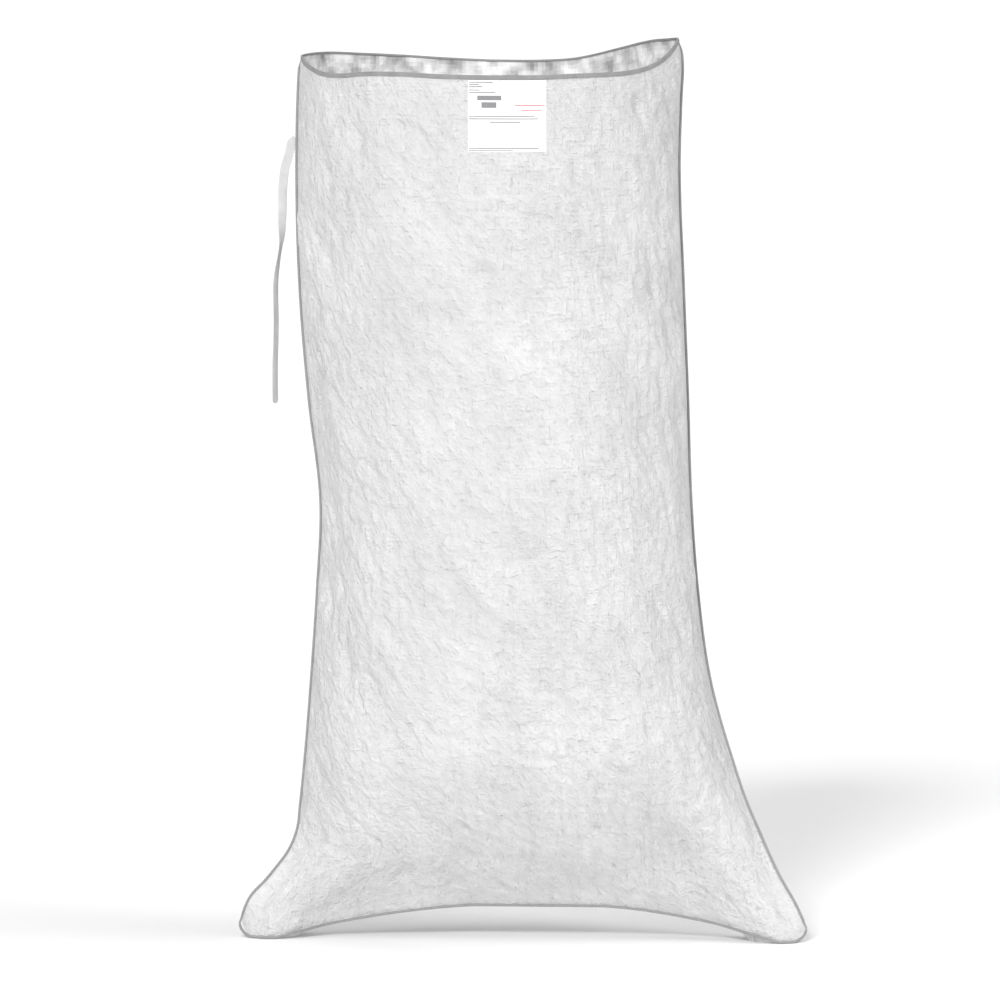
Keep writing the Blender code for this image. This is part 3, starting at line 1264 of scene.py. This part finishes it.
@dataclass(frozen=True)
class LabelFinish:
    """Smooth white label cloth with thin rules and plain bars."""

    paper_low: Colour = grey(0.81)
    paper: Colour = grey(0.84)
    ink: Colour = (0.13, 0.13, 0.14, 1.0)
    red_ink: Colour = (0.48, 0.05, 0.06, 1.0)
    tone_range: tuple = (0.3, 0.6)
    roughness: tuple = (0.55, 0.7)
    gloss: float = 0.25
    # Patterns: scale, detail and roughness of each, and the least of the print that the wear leaves
    wear: tuple = (900.0, 3.0, 0.7)
    wear_range: tuple = (0.70, 1.0)
    fibres: tuple = (300.0, 3.0, 0.6)
    fibre_height: float = 0.0002
    weave_height: float = 0.00003
    tape: float = 0.0006
    # Rules across the label, its upright divider and the short rule beside it, in millimetres
    rule: float = 0.4
    rules: tuple = (9.2, 16.8, 41.4, 48.3, 80.1)
    divider: float = 49.7
    short_rule: float = 32.7
    side: float = 94.0
    # Bars: left and right end, and height down the label
    bar_height: float = 1.2
    bars: tuple = (
        (1.0, 30.0, 2.6),
        (1.0, 13.0, 5.2),
        (1.0, 17.0, 7.6),
        (1.0, 14.0, 12.0),
        (1.0, 33.0, 14.8),
        (1.0, 80.0, 43.8),
        (1.0, 84.0, 46.8),
        (26.0, 63.0, 51.0),
        (1.0, 85.0, 82.4),
        (1.0, 54.0, 85.0),
    )
    red_bars: tuple = ((56.0, 93.0, 30.6), (64.0, 88.0, 36.4))
    # Solid blocks and open frames: left, right, top and bottom
    blocks: tuple = ((11.0, 40.0, 18.6, 24.4), (16.0, 34.0, 26.6, 33.6))
    frames: tuple = ((27.0, 34.0, 60.0, 69.0), (41.0, 54.0, 57.0, 75.0))

    def level_mark(self, left: float, right: float, level: float, height: float, red: bool = False) -> Mark:
        """Level bar of one height."""
        return Mark(left, right, level - height / 2, level + height / 2, red)

    def marks(self) -> list[Mark]:
        """Every rule and bar that is printed on the label."""
        half = self.rule / 2
        made = [self.level_mark(0.0, self.side, level, self.rule) for level in self.rules]
        made.append(Mark(self.divider - half, self.divider + half, self.rules[1], self.rules[2]))
        made.append(self.level_mark(self.divider, self.side, self.short_rule, self.rule))
        made += [Mark(*block) for block in self.blocks]
        for left, right, top, bottom in self.frames:
            made += [self.level_mark(left, right, level, self.rule) for level in (top, bottom)]
            made += [Mark(side - half, side + half, top, bottom) for side in (left, right)]
        made += [self.level_mark(*bar, self.bar_height) for bar in self.bars]
        made += [self.level_mark(*bar, self.bar_height, red=True) for bar in self.red_bars]
        return made

    def make(self) -> bpy.types.Material:
        """White cloth with its print, which is a little worn and broken up."""
        sheet = NodeSheet("label_white")
        uv = sheet.uv()
        places = sheet.split(uv)
        masks: dict[bool, Socket] = {}
        for mark in self.marks():
            inside = [
                sheet.add("Math", {0: place, 1: middle, 2: half}, operation="COMPARE")
                for place, (middle, half) in zip(places, mark.spans())
            ]
            both = sheet.math("MULTIPLY", *inside)
            masks[mark.red] = sheet.math("MAXIMUM", masks[mark.red], both) if mark.red in masks else both
        worn = sheet.spread(sheet.noise(uv, *self.wear), *self.wear_range)
        fibres = sheet.noise(uv, *self.fibres)
        colour = sheet.ramp(fibres, self.paper_low, self.paper, *self.tone_range)
        for red, ink in ((False, self.ink), (True, self.red_ink)):
            colour = sheet.mix(sheet.math("MULTIPLY", masks[red], worn), colour, ink)
        bend = sheet.bump(fibres, self.fibre_height)
        bend = sheet.bump(sheet.weave(uv, self.tape), self.weave_height, bend)
        return sheet.finish(colour, sheet.spread(fibres, *self.roughness), self.gloss, bend)


@dataclass(frozen=True)
class FloorFinish:
    """Plain pale studio floor."""

    level: float = 0.825
    unevenness: float = 0.985
    tone_range: tuple = (0.3, 0.7)
    grain: tuple = (2.0, 2.0, 0.5)

    def make(self) -> bpy.types.Material:
        """Matt white with a trace of unevenness."""
        sheet = NodeSheet("floor_white")
        grain = sheet.noise(sheet.add("TexCoord", {}, "Object"), *self.grain)
        darker = grey(self.unevenness * self.level)
        return sheet.finish(sheet.ramp(grain, darker, grey(self.level), *self.tone_range), 1.0, 0.0)


@dataclass
class SackCloth:
    """The two layers of the folded cloth."""

    shape: SackShape
    relief: Relief
    columns: int = 170
    rows: int = 272
    row_power: float = 1.35
    wall: float = 0.0005
    thin_edge: float = 0.010
    # Reach of the folded edges into the cord, and where it fades out and ends below the rim
    edge_reach: float = 0.0013
    edge_fade: float = 0.008
    edge_end: float = 0.004
    floor: float = 0.0001

    def surface(self, around: np.ndarray, height: np.ndarray, out: float = 0.0) -> np.ndarray:
        """Points of the crumpled cloth, or of a surface a little out of it.

        Args:
            around: distances round the sack.
            height: heights above the bottom fold.
            out: distance out of the cloth.

        Returns:
            One row of x, y and z for each place.
        """
        normals = self.shape.normals(around, height)
        lift = self.relief.height_at(around, height) + out
        points = self.shape.surface(around, height) + normals * lift[..., None]
        points[..., 2] = np.maximum(points[..., 2], self.floor)
        return points

    def build_layer(self, layer: Layer) -> bpy.types.Object:
        """One layer of the cloth, from the bottom fold to the rim.

        Args:
            layer: the front or the back layer.

        Returns:
            The layer's object, with its wall.
        """
        width = self.shape.flat_width
        heights = self.shape.mouth_height * (np.arange(self.rows + 1) / self.rows) ** self.row_power
        start = 0.0 if layer is Layer.FRONT else width
        around, height = np.meshgrid(start + np.linspace(0.0, width, self.columns + 1), heights)
        points = self.surface(around, height)
        self.tuck_edges(points, heights, layer)

        up = np.linalg.norm(np.diff(points, axis=0), axis=2)
        along = np.concatenate((np.cumsum(up[::-1], axis=0)[::-1], np.zeros((1, self.columns + 1))))
        faces = grid_faces(self.rows, self.columns)
        flat = np.stack((around, self.shape.mouth_height - along), axis=2).reshape(-1, 2)
        made = add_mesh(f"cloth_{layer.value}", points.reshape(-1, 3), faces, flat[faces.ravel()])
        thin = self.edge_weights(around - start, height)
        group = made.vertex_groups.new(name="wall")
        for weight in np.unique(thin):
            group.add(np.flatnonzero(thin == weight).tolist(), float(weight), "REPLACE")
        return made

    def tuck_edges(self, points: np.ndarray, heights: np.ndarray, layer: Layer) -> None:
        """Draw the layer's side and bottom edges out into the corded seam.

        Args:
            points: grid of the layer's points, changed in place.
            heights: height of each row above the bottom fold.
            layer: the front or the back layer.
        """
        first, last = (math.pi, 0.0) if layer is Layer.FRONT else (0.0, math.pi)
        for column, angle in ((0, first), (self.columns, last)):
            fold, outward = self.shape.fold(np.full(len(heights), angle), heights)
            below = self.shape.mouth_height - heights - self.edge_end
            fade = smooth(below / self.edge_fade)[:, None]
            points[:, column] = fold + outward * self.edge_reach * fade
        shares = np.linspace(0.0, 1.0, self.columns + 1)
        place = shares * self.shape.flat_width
        angles = np.abs(self.shape.angle_of(place, np.zeros(len(place))))
        if layer is Layer.BACK:
            angles = angles[::-1]
        fold, outward = self.shape.fold(angles, np.zeros(len(angles)))
        points[0] = fold + outward * self.edge_reach
        points[..., 2] = np.maximum(points[..., 2], self.floor)

    def edge_weights(self, side: np.ndarray, height: np.ndarray) -> np.ndarray:
        """Share of the wall's thickness at each point, less beside the folded edges.

        Args:
            side: distances from the layer's left edge.
            height: heights above the bottom fold.

        Returns:
            Shares from 0 to 1, in steps of a tenth.
        """
        edge = np.minimum(np.minimum(side, self.shape.flat_width - side), height)
        return np.round(smooth(edge / self.thin_edge), 1).ravel()

    def build(self) -> list[bpy.types.Object]:
        """Both layers with their walls and finishes."""
        outer, inner = WovenFinish().make(), InnerPaintedShadeFinish().make()
        layers = []
        for layer in Layer:
            made = self.build_layer(layer)
            made.data.materials.append(outer)
            made.data.materials.append(inner)
            apply_wall(made, self.wall, 1, "wall")
            made.vertex_groups.clear()
            for vertex in made.data.vertices:
                vertex.co.z = max(vertex.co.z, self.floor)
            made.data.shade_smooth()
            dress(made, "woven_cloth")
            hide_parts("sack_body")
            layers.append(made)
        return layers


@dataclass
class StitchRow:
    """Row of short stitches laid along a line on the cloth."""

    length: float = 0.0036
    thread: float = 0.0007
    flatness: float = 0.8
    # Shares of the length where an end bends down, and of the thread by which it dips
    bend_start: float = 0.35
    dip: float = 0.35
    sides: int = 8
    rings: int = 6

    def model(self) -> bpy.types.Object:
        """One stitch, lying along X with its two ends drawn down into the cloth."""
        deselect()
        bpy.ops.mesh.primitive_uv_sphere_add(segments=self.sides, ring_count=self.rings, radius=0.5)
        made = bpy.context.object
        bpy.ops.object.mode_set(mode="EDIT")
        bpy.ops.mesh.select_all(action="SELECT")
        quarter = math.pi / 2
        bpy.ops.transform.rotate(value=quarter, orient_axis="Y", center_override=(0.0, 0.0, 0.0))
        bpy.ops.transform.resize(value=(self.length, self.thread, self.thread * self.flatness))
        bpy.ops.mesh.select_all(action="DESELECT")
        bpy.ops.object.mode_set(mode="OBJECT")
        for vertex in made.data.vertices:
            vertex.select = abs(vertex.co.x) > self.length * self.bend_start
        bpy.ops.object.mode_set(mode="EDIT")
        bpy.ops.mesh.select_mode(type="VERT")
        bpy.ops.transform.translate(value=(0.0, 0.0, -self.thread * self.dip))
        bpy.ops.object.mode_set(mode="OBJECT")
        made.data.shade_smooth()
        made.data.uv_layers[0].name = UV_NAME
        return made

    def lay(self, name: str, places: np.ndarray, along: np.ndarray, out: np.ndarray) -> bpy.types.Object:
        """Copies of the stitch at their places, joined into one piece.

        Args:
            name: name of the piece.
            places: middle of each stitch.
            along: direction of each stitch.
            out: direction out of the cloth at each stitch.

        Returns:
            The joined piece, at the origin.
        """
        stitch = self.model()
        copies = []
        for place, tangent, normal in zip(places, along, out):
            x = Vector(tangent).normalized()
            y = Vector(normal).cross(x).normalized()
            turn = Matrix((x, y, x.cross(y))).transposed().to_4x4()
            copy = bpy.data.objects.new(name, stitch.data.copy())
            copy.matrix_world = Matrix.Translation(place) @ turn
            bpy.context.scene.collection.objects.link(copy)
            copies.append(copy)
        bpy.data.objects.remove(stitch)
        make_active(copies[0])
        for copy in copies:
            copy.select_set(True)
        bpy.ops.object.join()
        made = bpy.context.object
        bpy.ops.object.transform_apply(location=True, rotation=True, scale=True)
        made.name = name
        return made


@dataclass
class MouthTape:
    """Grey tape folded over the mouth's edge and sewn through."""

    shape: SackShape
    outside: float = 0.0041
    inside: float = 0.0014
    thickness: float = 0.0007
    gap: float = 0.0003
    cloth: float = 0.0005
    columns: int = 420
    flap_steps: int = 6
    fold_steps: int = 6
    steepest: float = 1.8
    pucker: float = 0.00010
    near: float = 0.001
    # Stitches: their pitch, their lift off the tape, and how far down each flap a row lies
    stitch_pitch: float = 0.0052
    stitch_lift: float = 0.0001
    outer_row: float = 0.58
    inner_row: float = 0.6

    def stretch(self, around: np.ndarray) -> np.ndarray:
        """How much deeper the tape reaches where the rim slopes, so that its width stays even.

        Args:
            around: distances round the sack.

        Returns:
            Factors from 1 up to that of the steepest rim.
        """
        ahead = self.shape.surface(around + self.near, self.shape.mouth_height)
        behind = self.shape.surface(around - self.near, self.shape.mouth_height)
        rise = np.abs(ahead[:, 2] - behind[:, 2])
        run = np.hypot(ahead[:, 0] - behind[:, 0], ahead[:, 1] - behind[:, 1])
        return np.minimum(np.hypot(1.0, rise / np.maximum(run, 1e-6)), self.steepest)

    def skin(self, around: np.ndarray, out: float, drop: np.ndarray) -> np.ndarray:
        """Points of the tape beside the cloth.

        Args:
            around: distances round the sack.
            out: distance out of the cloth's outer face.
            drop: distances below the rim.

        Returns:
            One row of x, y and z for each place.
        """
        height = self.shape.mouth_height - drop
        level = np.maximum(height, 0.0)
        return self.shape.surface(around, level) + self.shape.normals(around, level) * out

    def section(self, around: np.ndarray) -> np.ndarray:
        """Rings of the tape's folded section.

        Args:
            around: distances round the sack.

        Returns:
            One ring of points for each place.
        """
        stretch = self.stretch(around)
        half = self.thickness / 2
        outer = self.gap + half
        inner = -self.cloth - self.gap - half
        middle, bend = (outer + inner) / 2, (outer - inner) / 2
        top = np.full(around.shape, self.shape.mouth_height)
        rim = self.shape.surface(around, top)
        level = unit(self.shape.normals(around, top) * (1.0, 1.0, 0.0))

        def side(offset: float, flip: int) -> list[np.ndarray]:
            """One face of the tape, from the outer flap's edge over the fold to the inner edge.

            Args:
                offset: distance of the face from the tape's middle.
                flip: 1 for this order, or -1 for the opposite one.

            Returns:
                The face's lines round the mouth, one after another.
            """
            rings = []
            for share in np.linspace(1.0, 0.0, self.flap_steps + 1):
                pucker = self.pucker * math.sin(math.pi * share)
                rings.append(self.skin(around, outer + offset + pucker, share * self.outside * stretch))
            for turn in np.linspace(0.0, math.pi, self.fold_steps + 2)[1:-1]:
                out = middle + (bend + offset) * math.cos(turn)
                up = (bend + offset) * math.sin(turn)
                rings.append(rim + level * out + np.array((0.0, 0.0, up)))
            for share in np.linspace(0.0, 1.0, self.flap_steps):
                rings.append(self.skin(around, inner - offset, share * self.inside * stretch))
            return rings[::flip]

        return np.stack(side(half, 1) + side(-half, -1), axis=1)

    def stitches(self) -> bpy.types.Object:
        """Row of stitches on the outer flap and one on the inner flap."""
        girth = 2 * self.shape.flat_width
        count = int(girth / self.stitch_pitch)
        around = (np.arange(count) + 0.5) * girth / count
        stretch = self.stretch(around)
        places, along, out = [], [], []
        face = self.gap + self.thickness
        outer = (face, self.outer_row * self.outside, 1)
        inner = (-self.cloth - face, self.inner_row * self.inside, -1)
        for offset, drop, sign in (outer, inner):
            depth = drop * stretch
            ahead = self.skin(around + self.near, offset, depth)
            behind = self.skin(around - self.near, offset, depth)
            places.append(self.skin(around, offset + sign * self.stitch_lift, depth))
            along.append(ahead - behind)
            out.append(sign * self.shape.normals(around, self.shape.mouth_height - depth))
        row = StitchRow()
        return row.lay("mouth_stitches", np.concatenate(places), np.concatenate(along), np.concatenate(out))

    def build(self) -> list[bpy.types.Object]:
        """The tape and its stitches, with their finishes."""
        around = np.arange(self.columns) * 2 * self.shape.flat_width / self.columns
        tape = loft("mouth_tape", self.section(around), looped=True)
        finish = TapeFinish("tape_grey", grey(0.22), grey(0.30), rib=0.0009, rib_height=0.00010)
        dress(tape, "binding_tape", finish.make())
        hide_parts("mouth_binding")
        thread = ThreadFinish("tape_thread", grey(0.27), grey(0.35), lay=0.0003, lay_height=0.0001)
        stitches = self.stitches()
        dress(stitches, "binding_tape", thread.make())
        return [tape, stitches]


@dataclass
class EdgeSeam:
    """Twisted grey cord along the folded edge: down the left, over the bottom and up the right."""

    shape: SackShape
    radius: float = 0.0017
    groove: float = 0.09
    strands: int = 2
    lay: float = 0.0045
    step: float = 0.0009
    sides: int = 10
    # Ends under the mouth tape: the gap, the round cap and its sharpness, and the thinner tuck
    top_gap: float = 0.0040
    cap_length: float = 0.0025
    cap_round: float = 0.98
    tuck_length: float = 0.012
    tuck_share: float = 0.50
    # Points that the line is worked out with
    side_points: int = 399
    side_power: float = 1.4
    bottom_points: int = 500
    smoothings: int = 3

    def line(self) -> np.ndarray:
        """Centre line of the cord, a little outside the folded edge."""
        top = self.shape.mouth_height - self.top_gap
        side = top * np.linspace(0.0, 1.0, self.side_points + 1)[1:] ** self.side_power
        turn = np.linspace(math.pi, 0.0, self.bottom_points)
        angle = np.concatenate((np.full(len(side), math.pi), turn, np.zeros(len(side))))
        height = np.concatenate((side[::-1], np.zeros(len(turn)), side))
        fold, outward = self.shape.fold(angle, height)
        tuck = smooth((top - height) / self.tuck_length)[:, None]
        offset = (self.shape.seam_gap + self.shape.seam_radius) * tuck
        thickest = self.radius * (1 + self.groove) + self.shape.floor_gap
        points = fold + outward * offset
        low = points[:, 2] < thickest
        outward[low, 2] = 0.0
        points[low] = (fold + unit(outward) * offset)[low]
        points[low, 2] = thickest
        smoothed = points.copy()
        for _ in range(self.smoothings):
            smoothed[1:-1] = (smoothed[:-2] + 2 * smoothed[1:-1] + smoothed[2:]) / 4
        return resample(smoothed, self.step)

    def rings(self, centres: np.ndarray) -> np.ndarray:
        """Rings of the twisted cord's section.

        Args:
            centres: points of the cord's centre line.

        Returns:
            One ring of points for each centre.
        """
        along = unit(np.gradient(centres, axis=0))
        places = lengths_along(centres)
        first = np.array((0.0, 1.0, 0.0))
        turn = np.arange(self.sides) * 2 * math.pi / self.sides
        rings = np.empty((len(centres), self.sides, 3))
        for index, (centre, tangent, place) in enumerate(zip(centres, along, places)):
            first = first - tangent * (first @ tangent)
            first = first / np.linalg.norm(first)
            second = np.cross(tangent, first)
            wave = np.cos(self.strands * turn - 2 * math.pi * place / self.lay)
            end = min(place, places[-1] - place)
            cap = math.sqrt(1 - (1 - min(end / self.cap_length, 1.0)) ** 2 * self.cap_round)
            tuck = self.tuck_share + (1 - self.tuck_share) * float(smooth(end / self.tuck_length))
            radius = self.radius * (1 + self.groove * wave) * cap * tuck
            rings[index] = centre + np.outer(radius * np.cos(turn), first)
            rings[index] += np.outer(radius * np.sin(turn), second)
        return rings

    def build(self) -> bpy.types.Object:
        """The cord with its finish."""
        made = loft("seam_cord", self.rings(self.line()), looped=False)
        finish = ThreadFinish("cord_grey", grey(0.25), grey(0.32), lay=0.0005, lay_height=0.0002)
        dress(made, "seam_cord", finish.make())
        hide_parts("edge_seam")
        return made


@dataclass
class LabelPatch:
    """White label sewn on the front, right under the mouth tape."""

    cloth: SackCloth
    left: float = -0.066
    right: float = 0.028
    height: float = 0.087
    top_gap: float = 0.0048
    thickness: float = 0.0005
    out: float = 0.0008
    columns: int = 62
    rows: int = 58
    # Ripple of the patch: its height, its radians a metre each way, and its fade at the edges
    ripple: float = 0.00012
    ripple_across: float = 410.0
    ripple_down: float = 290.0
    ripple_phase: float = 0.6
    ripple_fade: float = 0.004
    # Stitches: their length and thread, and where they lie
    stitch_length: float = 0.0023
    stitch_thread: float = 0.00045
    stitch_inset: float = 0.0018
    stitch_pitch: float = 0.0034
    near: float = 0.001

    def spot(self, across: np.ndarray, down: np.ndarray) -> tuple[np.ndarray, np.ndarray]:
        """Where places on the label lie on the cloth.

        Args:
            across: distances from the label's left edge.
            down: distances below its top.

        Returns:
            Their distances round the sack, and their heights above the bottom fold.
        """
        height = self.cloth.shape.mouth_height - self.top_gap - down
        return self.cloth.shape.around_at(self.left + across, height), height

    def build_patch(self) -> bpy.types.Object:
        """The patch with its wall."""
        width = self.right - self.left
        across = np.linspace(0.0, width, self.columns + 1)
        down = np.linspace(self.height, 0.0, self.rows + 1)
        across, down = np.meshgrid(across, down)
        edge = np.minimum(np.minimum(across, width - across), np.minimum(down, self.height - down))
        points = self.cloth.surface(*self.spot(across, down), self.out)
        shape = self.cloth.shape
        level = shape.mouth_height - down
        normals = shape.normals(shape.around_at(self.left + across, level), level)
        waves = np.sin(across * self.ripple_across) * np.cos(down * self.ripple_down + self.ripple_phase)
        points += normals * (self.ripple * waves * smooth(edge / self.ripple_fade))[..., None]
        faces = grid_faces(self.rows, self.columns)
        flat = np.stack((across, down), axis=2).reshape(-1, 2)
        made = add_mesh("label_patch", points.reshape(-1, 3), faces, flat[faces.ravel()])
        apply_wall(made, self.thickness, 0)
        return made

    def build_stitches(self) -> bpy.types.Object:
        """Short white stitches just inside the label's four edges."""
        width = self.right - self.left
        low, far = self.stitch_inset, width - self.stitch_inset
        bottom = self.height - self.stitch_inset
        corners = ((low, low), (far, low), (far, bottom), (low, bottom), (low, low))
        middles, ahead = [], []
        for start, end in zip(corners, corners[1:]):
            start, end = np.array(start), np.array(end)
            run = np.linalg.norm(end - start)
            count = int(run / self.stitch_pitch)
            share = ((np.arange(count) + 0.5) / count)[:, None]
            middles.append(start + (end - start) * share)
            ahead.append(middles[-1] + (end - start) / run * self.near)
        spots = self.spot(*np.concatenate(middles).T)
        places = self.cloth.surface(*spots, self.out)
        along = self.cloth.surface(*self.spot(*np.concatenate(ahead).T), self.out) - places
        row = StitchRow(length=self.stitch_length, thread=self.stitch_thread)
        return row.lay("label_stitches", places, along, self.cloth.shape.normals(*spots))

    def build(self) -> list[bpy.types.Object]:
        """The label and its stitches, with their finishes."""
        patch = self.build_patch()
        dress(patch, "label_cloth", LabelFinish().make())
        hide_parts("label")
        stitches = self.build_stitches()
        thread = ThreadFinish("label_thread", grey(0.80), grey(0.90), lay=0.0003, lay_height=0.0001)
        dress(stitches, "label_cloth", thread.make())
        return [patch, stitches]


@dataclass
class TieRibbon:
    """Limp grey ribbon that leaves the left side seam and hangs beside the sack."""

    # Middle line: its hidden end in the seam, and its way down
    tucked: tuple = (-0.2768, 0.0012, 0.9840)
    route: tuple = (
        (-0.2822, 0.000, 0.9800),
        (-0.2840, 0.000, 0.9725),
        (-0.2868, 0.000, 0.9620),
        (-0.2903, 0.000, 0.9500),
        (-0.2928, 0.000, 0.9300),
        (-0.2940, -0.002, 0.8900),
        (-0.2952, -0.004, 0.8620),
        (-0.2982, -0.004, 0.8400),
        (-0.3012, -0.003, 0.8150),
        (-0.3020, -0.002, 0.7700),
        (-0.3025, -0.001, 0.7200),
        (-0.3032, 0.000, 0.6600),
    )
    # Height, and the ribbon's turn about its line there in degrees
    turns: tuple = (
        (0.640, 50.0),
        (0.760, 56.0),
        (0.815, 57.0),
        (0.853, 68.0),
        (0.885, 20.0),
        (0.930, 6.0),
        (1.000, 0.0),
    )
    width: float = 0.011
    thickness: float = 0.0011
    step: float = 0.0016
    sides: int = 24
    line_points: int = 600
    # Section: powers that flatten it, and its shallow cup, which comes and goes by radians a metre
    edge_power: float = 0.55
    face_power: float = 0.8
    cup: float = 0.0006
    cup_rate: float = 60.0
    # Rounded lower end
    end_round: float = 0.004
    end_sharpness: float = 0.97

    def line(self) -> np.ndarray:
        """Middle line of the ribbon, even and dense."""
        route = np.array((self.tucked, *self.route))
        table = np.column_stack((lengths_along(route), route))
        dense = through(table, np.linspace(0.0, table[-1, 0], self.line_points))
        return resample(dense, self.step)

    def rings(self, centres: np.ndarray) -> np.ndarray:
        """Rings of the flat section, turned about the line as the ribbon twists.

        Args:
            centres: points of the ribbon's middle line.

        Returns:
            One ring of points for each centre.
        """
        along = unit(np.gradient(centres, axis=0))
        places = lengths_along(centres)
        across = unit(np.cross(along, (0.0, 1.0, 0.0)))
        face = np.cross(across, along)
        turn = np.radians(through(self.turns, centres[:, 2]))
        wide = np.cos(turn) * across + np.sin(turn) * face
        flat = np.cross(along, wide)
        angle = np.arange(self.sides) * 2 * math.pi / self.sides
        share = np.sign(np.cos(angle)) * np.abs(np.cos(angle)) ** self.edge_power
        thick = np.sign(np.sin(angle)) * np.abs(np.sin(angle)) ** self.face_power
        end = np.clip((places[-1] - places) / self.end_round, 0.0, 1.0)
        half = self.width / 2 * np.sqrt(1 - (1 - end) ** 2 * self.end_sharpness)
        bow = self.cup * (share**2)[None, :, None] * np.sin(places * self.cup_rate)[:, None, None]
        rings = centres[:, None] + wide[:, None] * share[None, :, None] * half[:, None, None]
        return rings + flat[:, None] * (thick[None, :, None] * self.thickness / 2 + bow)

    def build(self) -> bpy.types.Object:
        """The ribbon with its finish."""
        centres = self.line()
        made = loft("ribbon", self.rings(centres), looped=False)
        finish = TapeFinish("ribbon_grey", grey(0.52), grey(0.60), rib=0.0008, rib_height=0.00008)
        dress(made, "ribbon_tape", finish.make())
        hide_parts("tie_ribbon")
        return made


@dataclass(frozen=True)
class SoftSun:
    """Broad soft light from far away."""

    name: str
    azimuth: float
    elevation: float
    strength: float
    spread: float
    shadow: bool = True
    distance: float = 4.0

    def add(self) -> None:
        """Add the light, turned to shine at the sack."""
        data = bpy.data.lights.new(self.name, "SUN")
        data.energy = self.strength
        data.use_shadow = self.shadow
        data.angle = math.radians(self.spread)
        made = bpy.data.objects.new(self.name, data)
        turn, rise = math.radians(self.azimuth), math.radians(self.elevation)
        away = Vector((math.sin(turn) * math.cos(rise), -math.cos(turn) * math.cos(rise), math.sin(rise)))
        made.location = away * self.distance
        made.rotation_mode = "QUATERNION"
        made.rotation_quaternion = away.to_track_quat("Z", "Y")
        bpy.context.scene.collection.objects.link(made)


@dataclass
class Studio:
    """Pale floor, white surroundings, soft lights and the camera."""

    floor_radius: float = 30.0
    floor_sides: int = 96
    # Strength of the surroundings, as the sack gets it and as the camera sees it
    ambient: float = 0.18
    backdrop: float = 1.0
    # Name, azimuth and elevation in degrees, strength, and spread in degrees
    suns: tuple = (
        SoftSun("key_light", -15.5, 30.5, 2.45, 13.0),
        SoftSun("low_light", 8.0, 6.0, 0.40, 40.0),
        SoftSun("right_light", 74.0, 34.0, 1.60, 50.0),
        SoftSun("left_light", -74.0, 34.0, 0.75, 50.0),
        SoftSun("top_light", 180.0, 82.0, 0.80, 36.0),
        SoftSun("table_light", 0.0, -78.0, 0.95, 60.0),
        SoftSun("back_light", 190.0, 14.0, 0.90, 40.0, False),
    )
    # Camera: a pixel's width in metres at the sack, and the picture's width in pixels
    camera_distance: float = 16.0
    camera_pitch: float = 5.2
    metres_a_pixel: float = 0.001226
    picture: int = 1000
    sensor: float = 36.0
    clip_end: float = 100.0
    aim: tuple = (-0.0276, 0.0, 0.541)

    def add_world(self) -> None:
        """White surroundings, brighter to the camera than to the sack."""
        world = bpy.data.worlds.new("studio")
        bpy.context.scene.world = world
        world.use_nodes = True
        tree = world.node_tree
        tree.nodes.clear()
        light = tree.nodes.new("ShaderNodeBackground")
        light.inputs["Strength"].default_value = self.ambient
        seen = tree.nodes.new("ShaderNodeBackground")
        seen.inputs["Strength"].default_value = self.backdrop
        for node in (light, seen):
            node.inputs["Color"].default_value = (1.0, 1.0, 1.0, 1.0)
        ray = tree.nodes.new("ShaderNodeLightPath")
        mix = tree.nodes.new("ShaderNodeMixShader")
        out = tree.nodes.new("ShaderNodeOutputWorld")
        tree.links.new(ray.outputs["Is Camera Ray"], mix.inputs[0])
        tree.links.new(light.outputs[0], mix.inputs[1])
        tree.links.new(seen.outputs[0], mix.inputs[2])
        tree.links.new(mix.outputs[0], out.inputs["Surface"])

    def add_floor(self) -> None:
        """Round pale table top, which lets the light under it through and isn't part of the sack."""
        deselect()
        sides, radius = self.floor_sides, self.floor_radius
        bpy.ops.mesh.primitive_circle_add(vertices=sides, radius=radius, fill_type="NGON")
        floor = bpy.context.object
        floor.name = "studio_floor"
        floor.data.materials.append(FloorFinish().make())
        floor.visible_shadow = False

    def add_camera(self) -> None:
        """Camera at the photograph's viewing angle, far off with a long lens."""
        data = bpy.data.cameras.new("camera")
        data.sensor_width = self.sensor
        data.lens = self.sensor * self.camera_distance / (self.metres_a_pixel * self.picture)
        data.clip_end = self.clip_end
        camera = bpy.data.objects.new("camera", data)
        pitch = math.radians(self.camera_pitch)
        back = Vector((0.0, -math.cos(pitch), math.sin(pitch)))
        camera.location = Vector(self.aim) + back * self.camera_distance
        camera.rotation_euler = (math.pi / 2 - pitch, 0.0, 0.0)
        bpy.context.scene.collection.objects.link(camera)
        bpy.context.scene.camera = camera

    def build(self) -> None:
        """Everything that isn't part of the sack."""
        self.add_world()
        self.add_floor()
        self.add_camera()
        for sun in self.suns:
            sun.add()
        bpy.context.scene.view_settings.view_transform = "Standard"


def main() -> None:
    """Build the studio and every piece of the sack."""
    logging.basicConfig(level=logging.INFO, format="%(message)s")
    Studio().build()
    ribbon = TieRibbon().build()
    shape = SackShape()
    cloth = SackCloth(shape, Relief(shape))
    front, back = cloth.build()
    tape, tape_stitches = MouthTape(shape).build()
    seam = EdgeSeam(shape).build()
    patch, label_stitches = LabelPatch(cloth).build()

    for made in (ribbon, front, back, tape, tape_stitches, seam, patch, label_stitches):
        report(made)


if __name__ == "__main__":
    main()
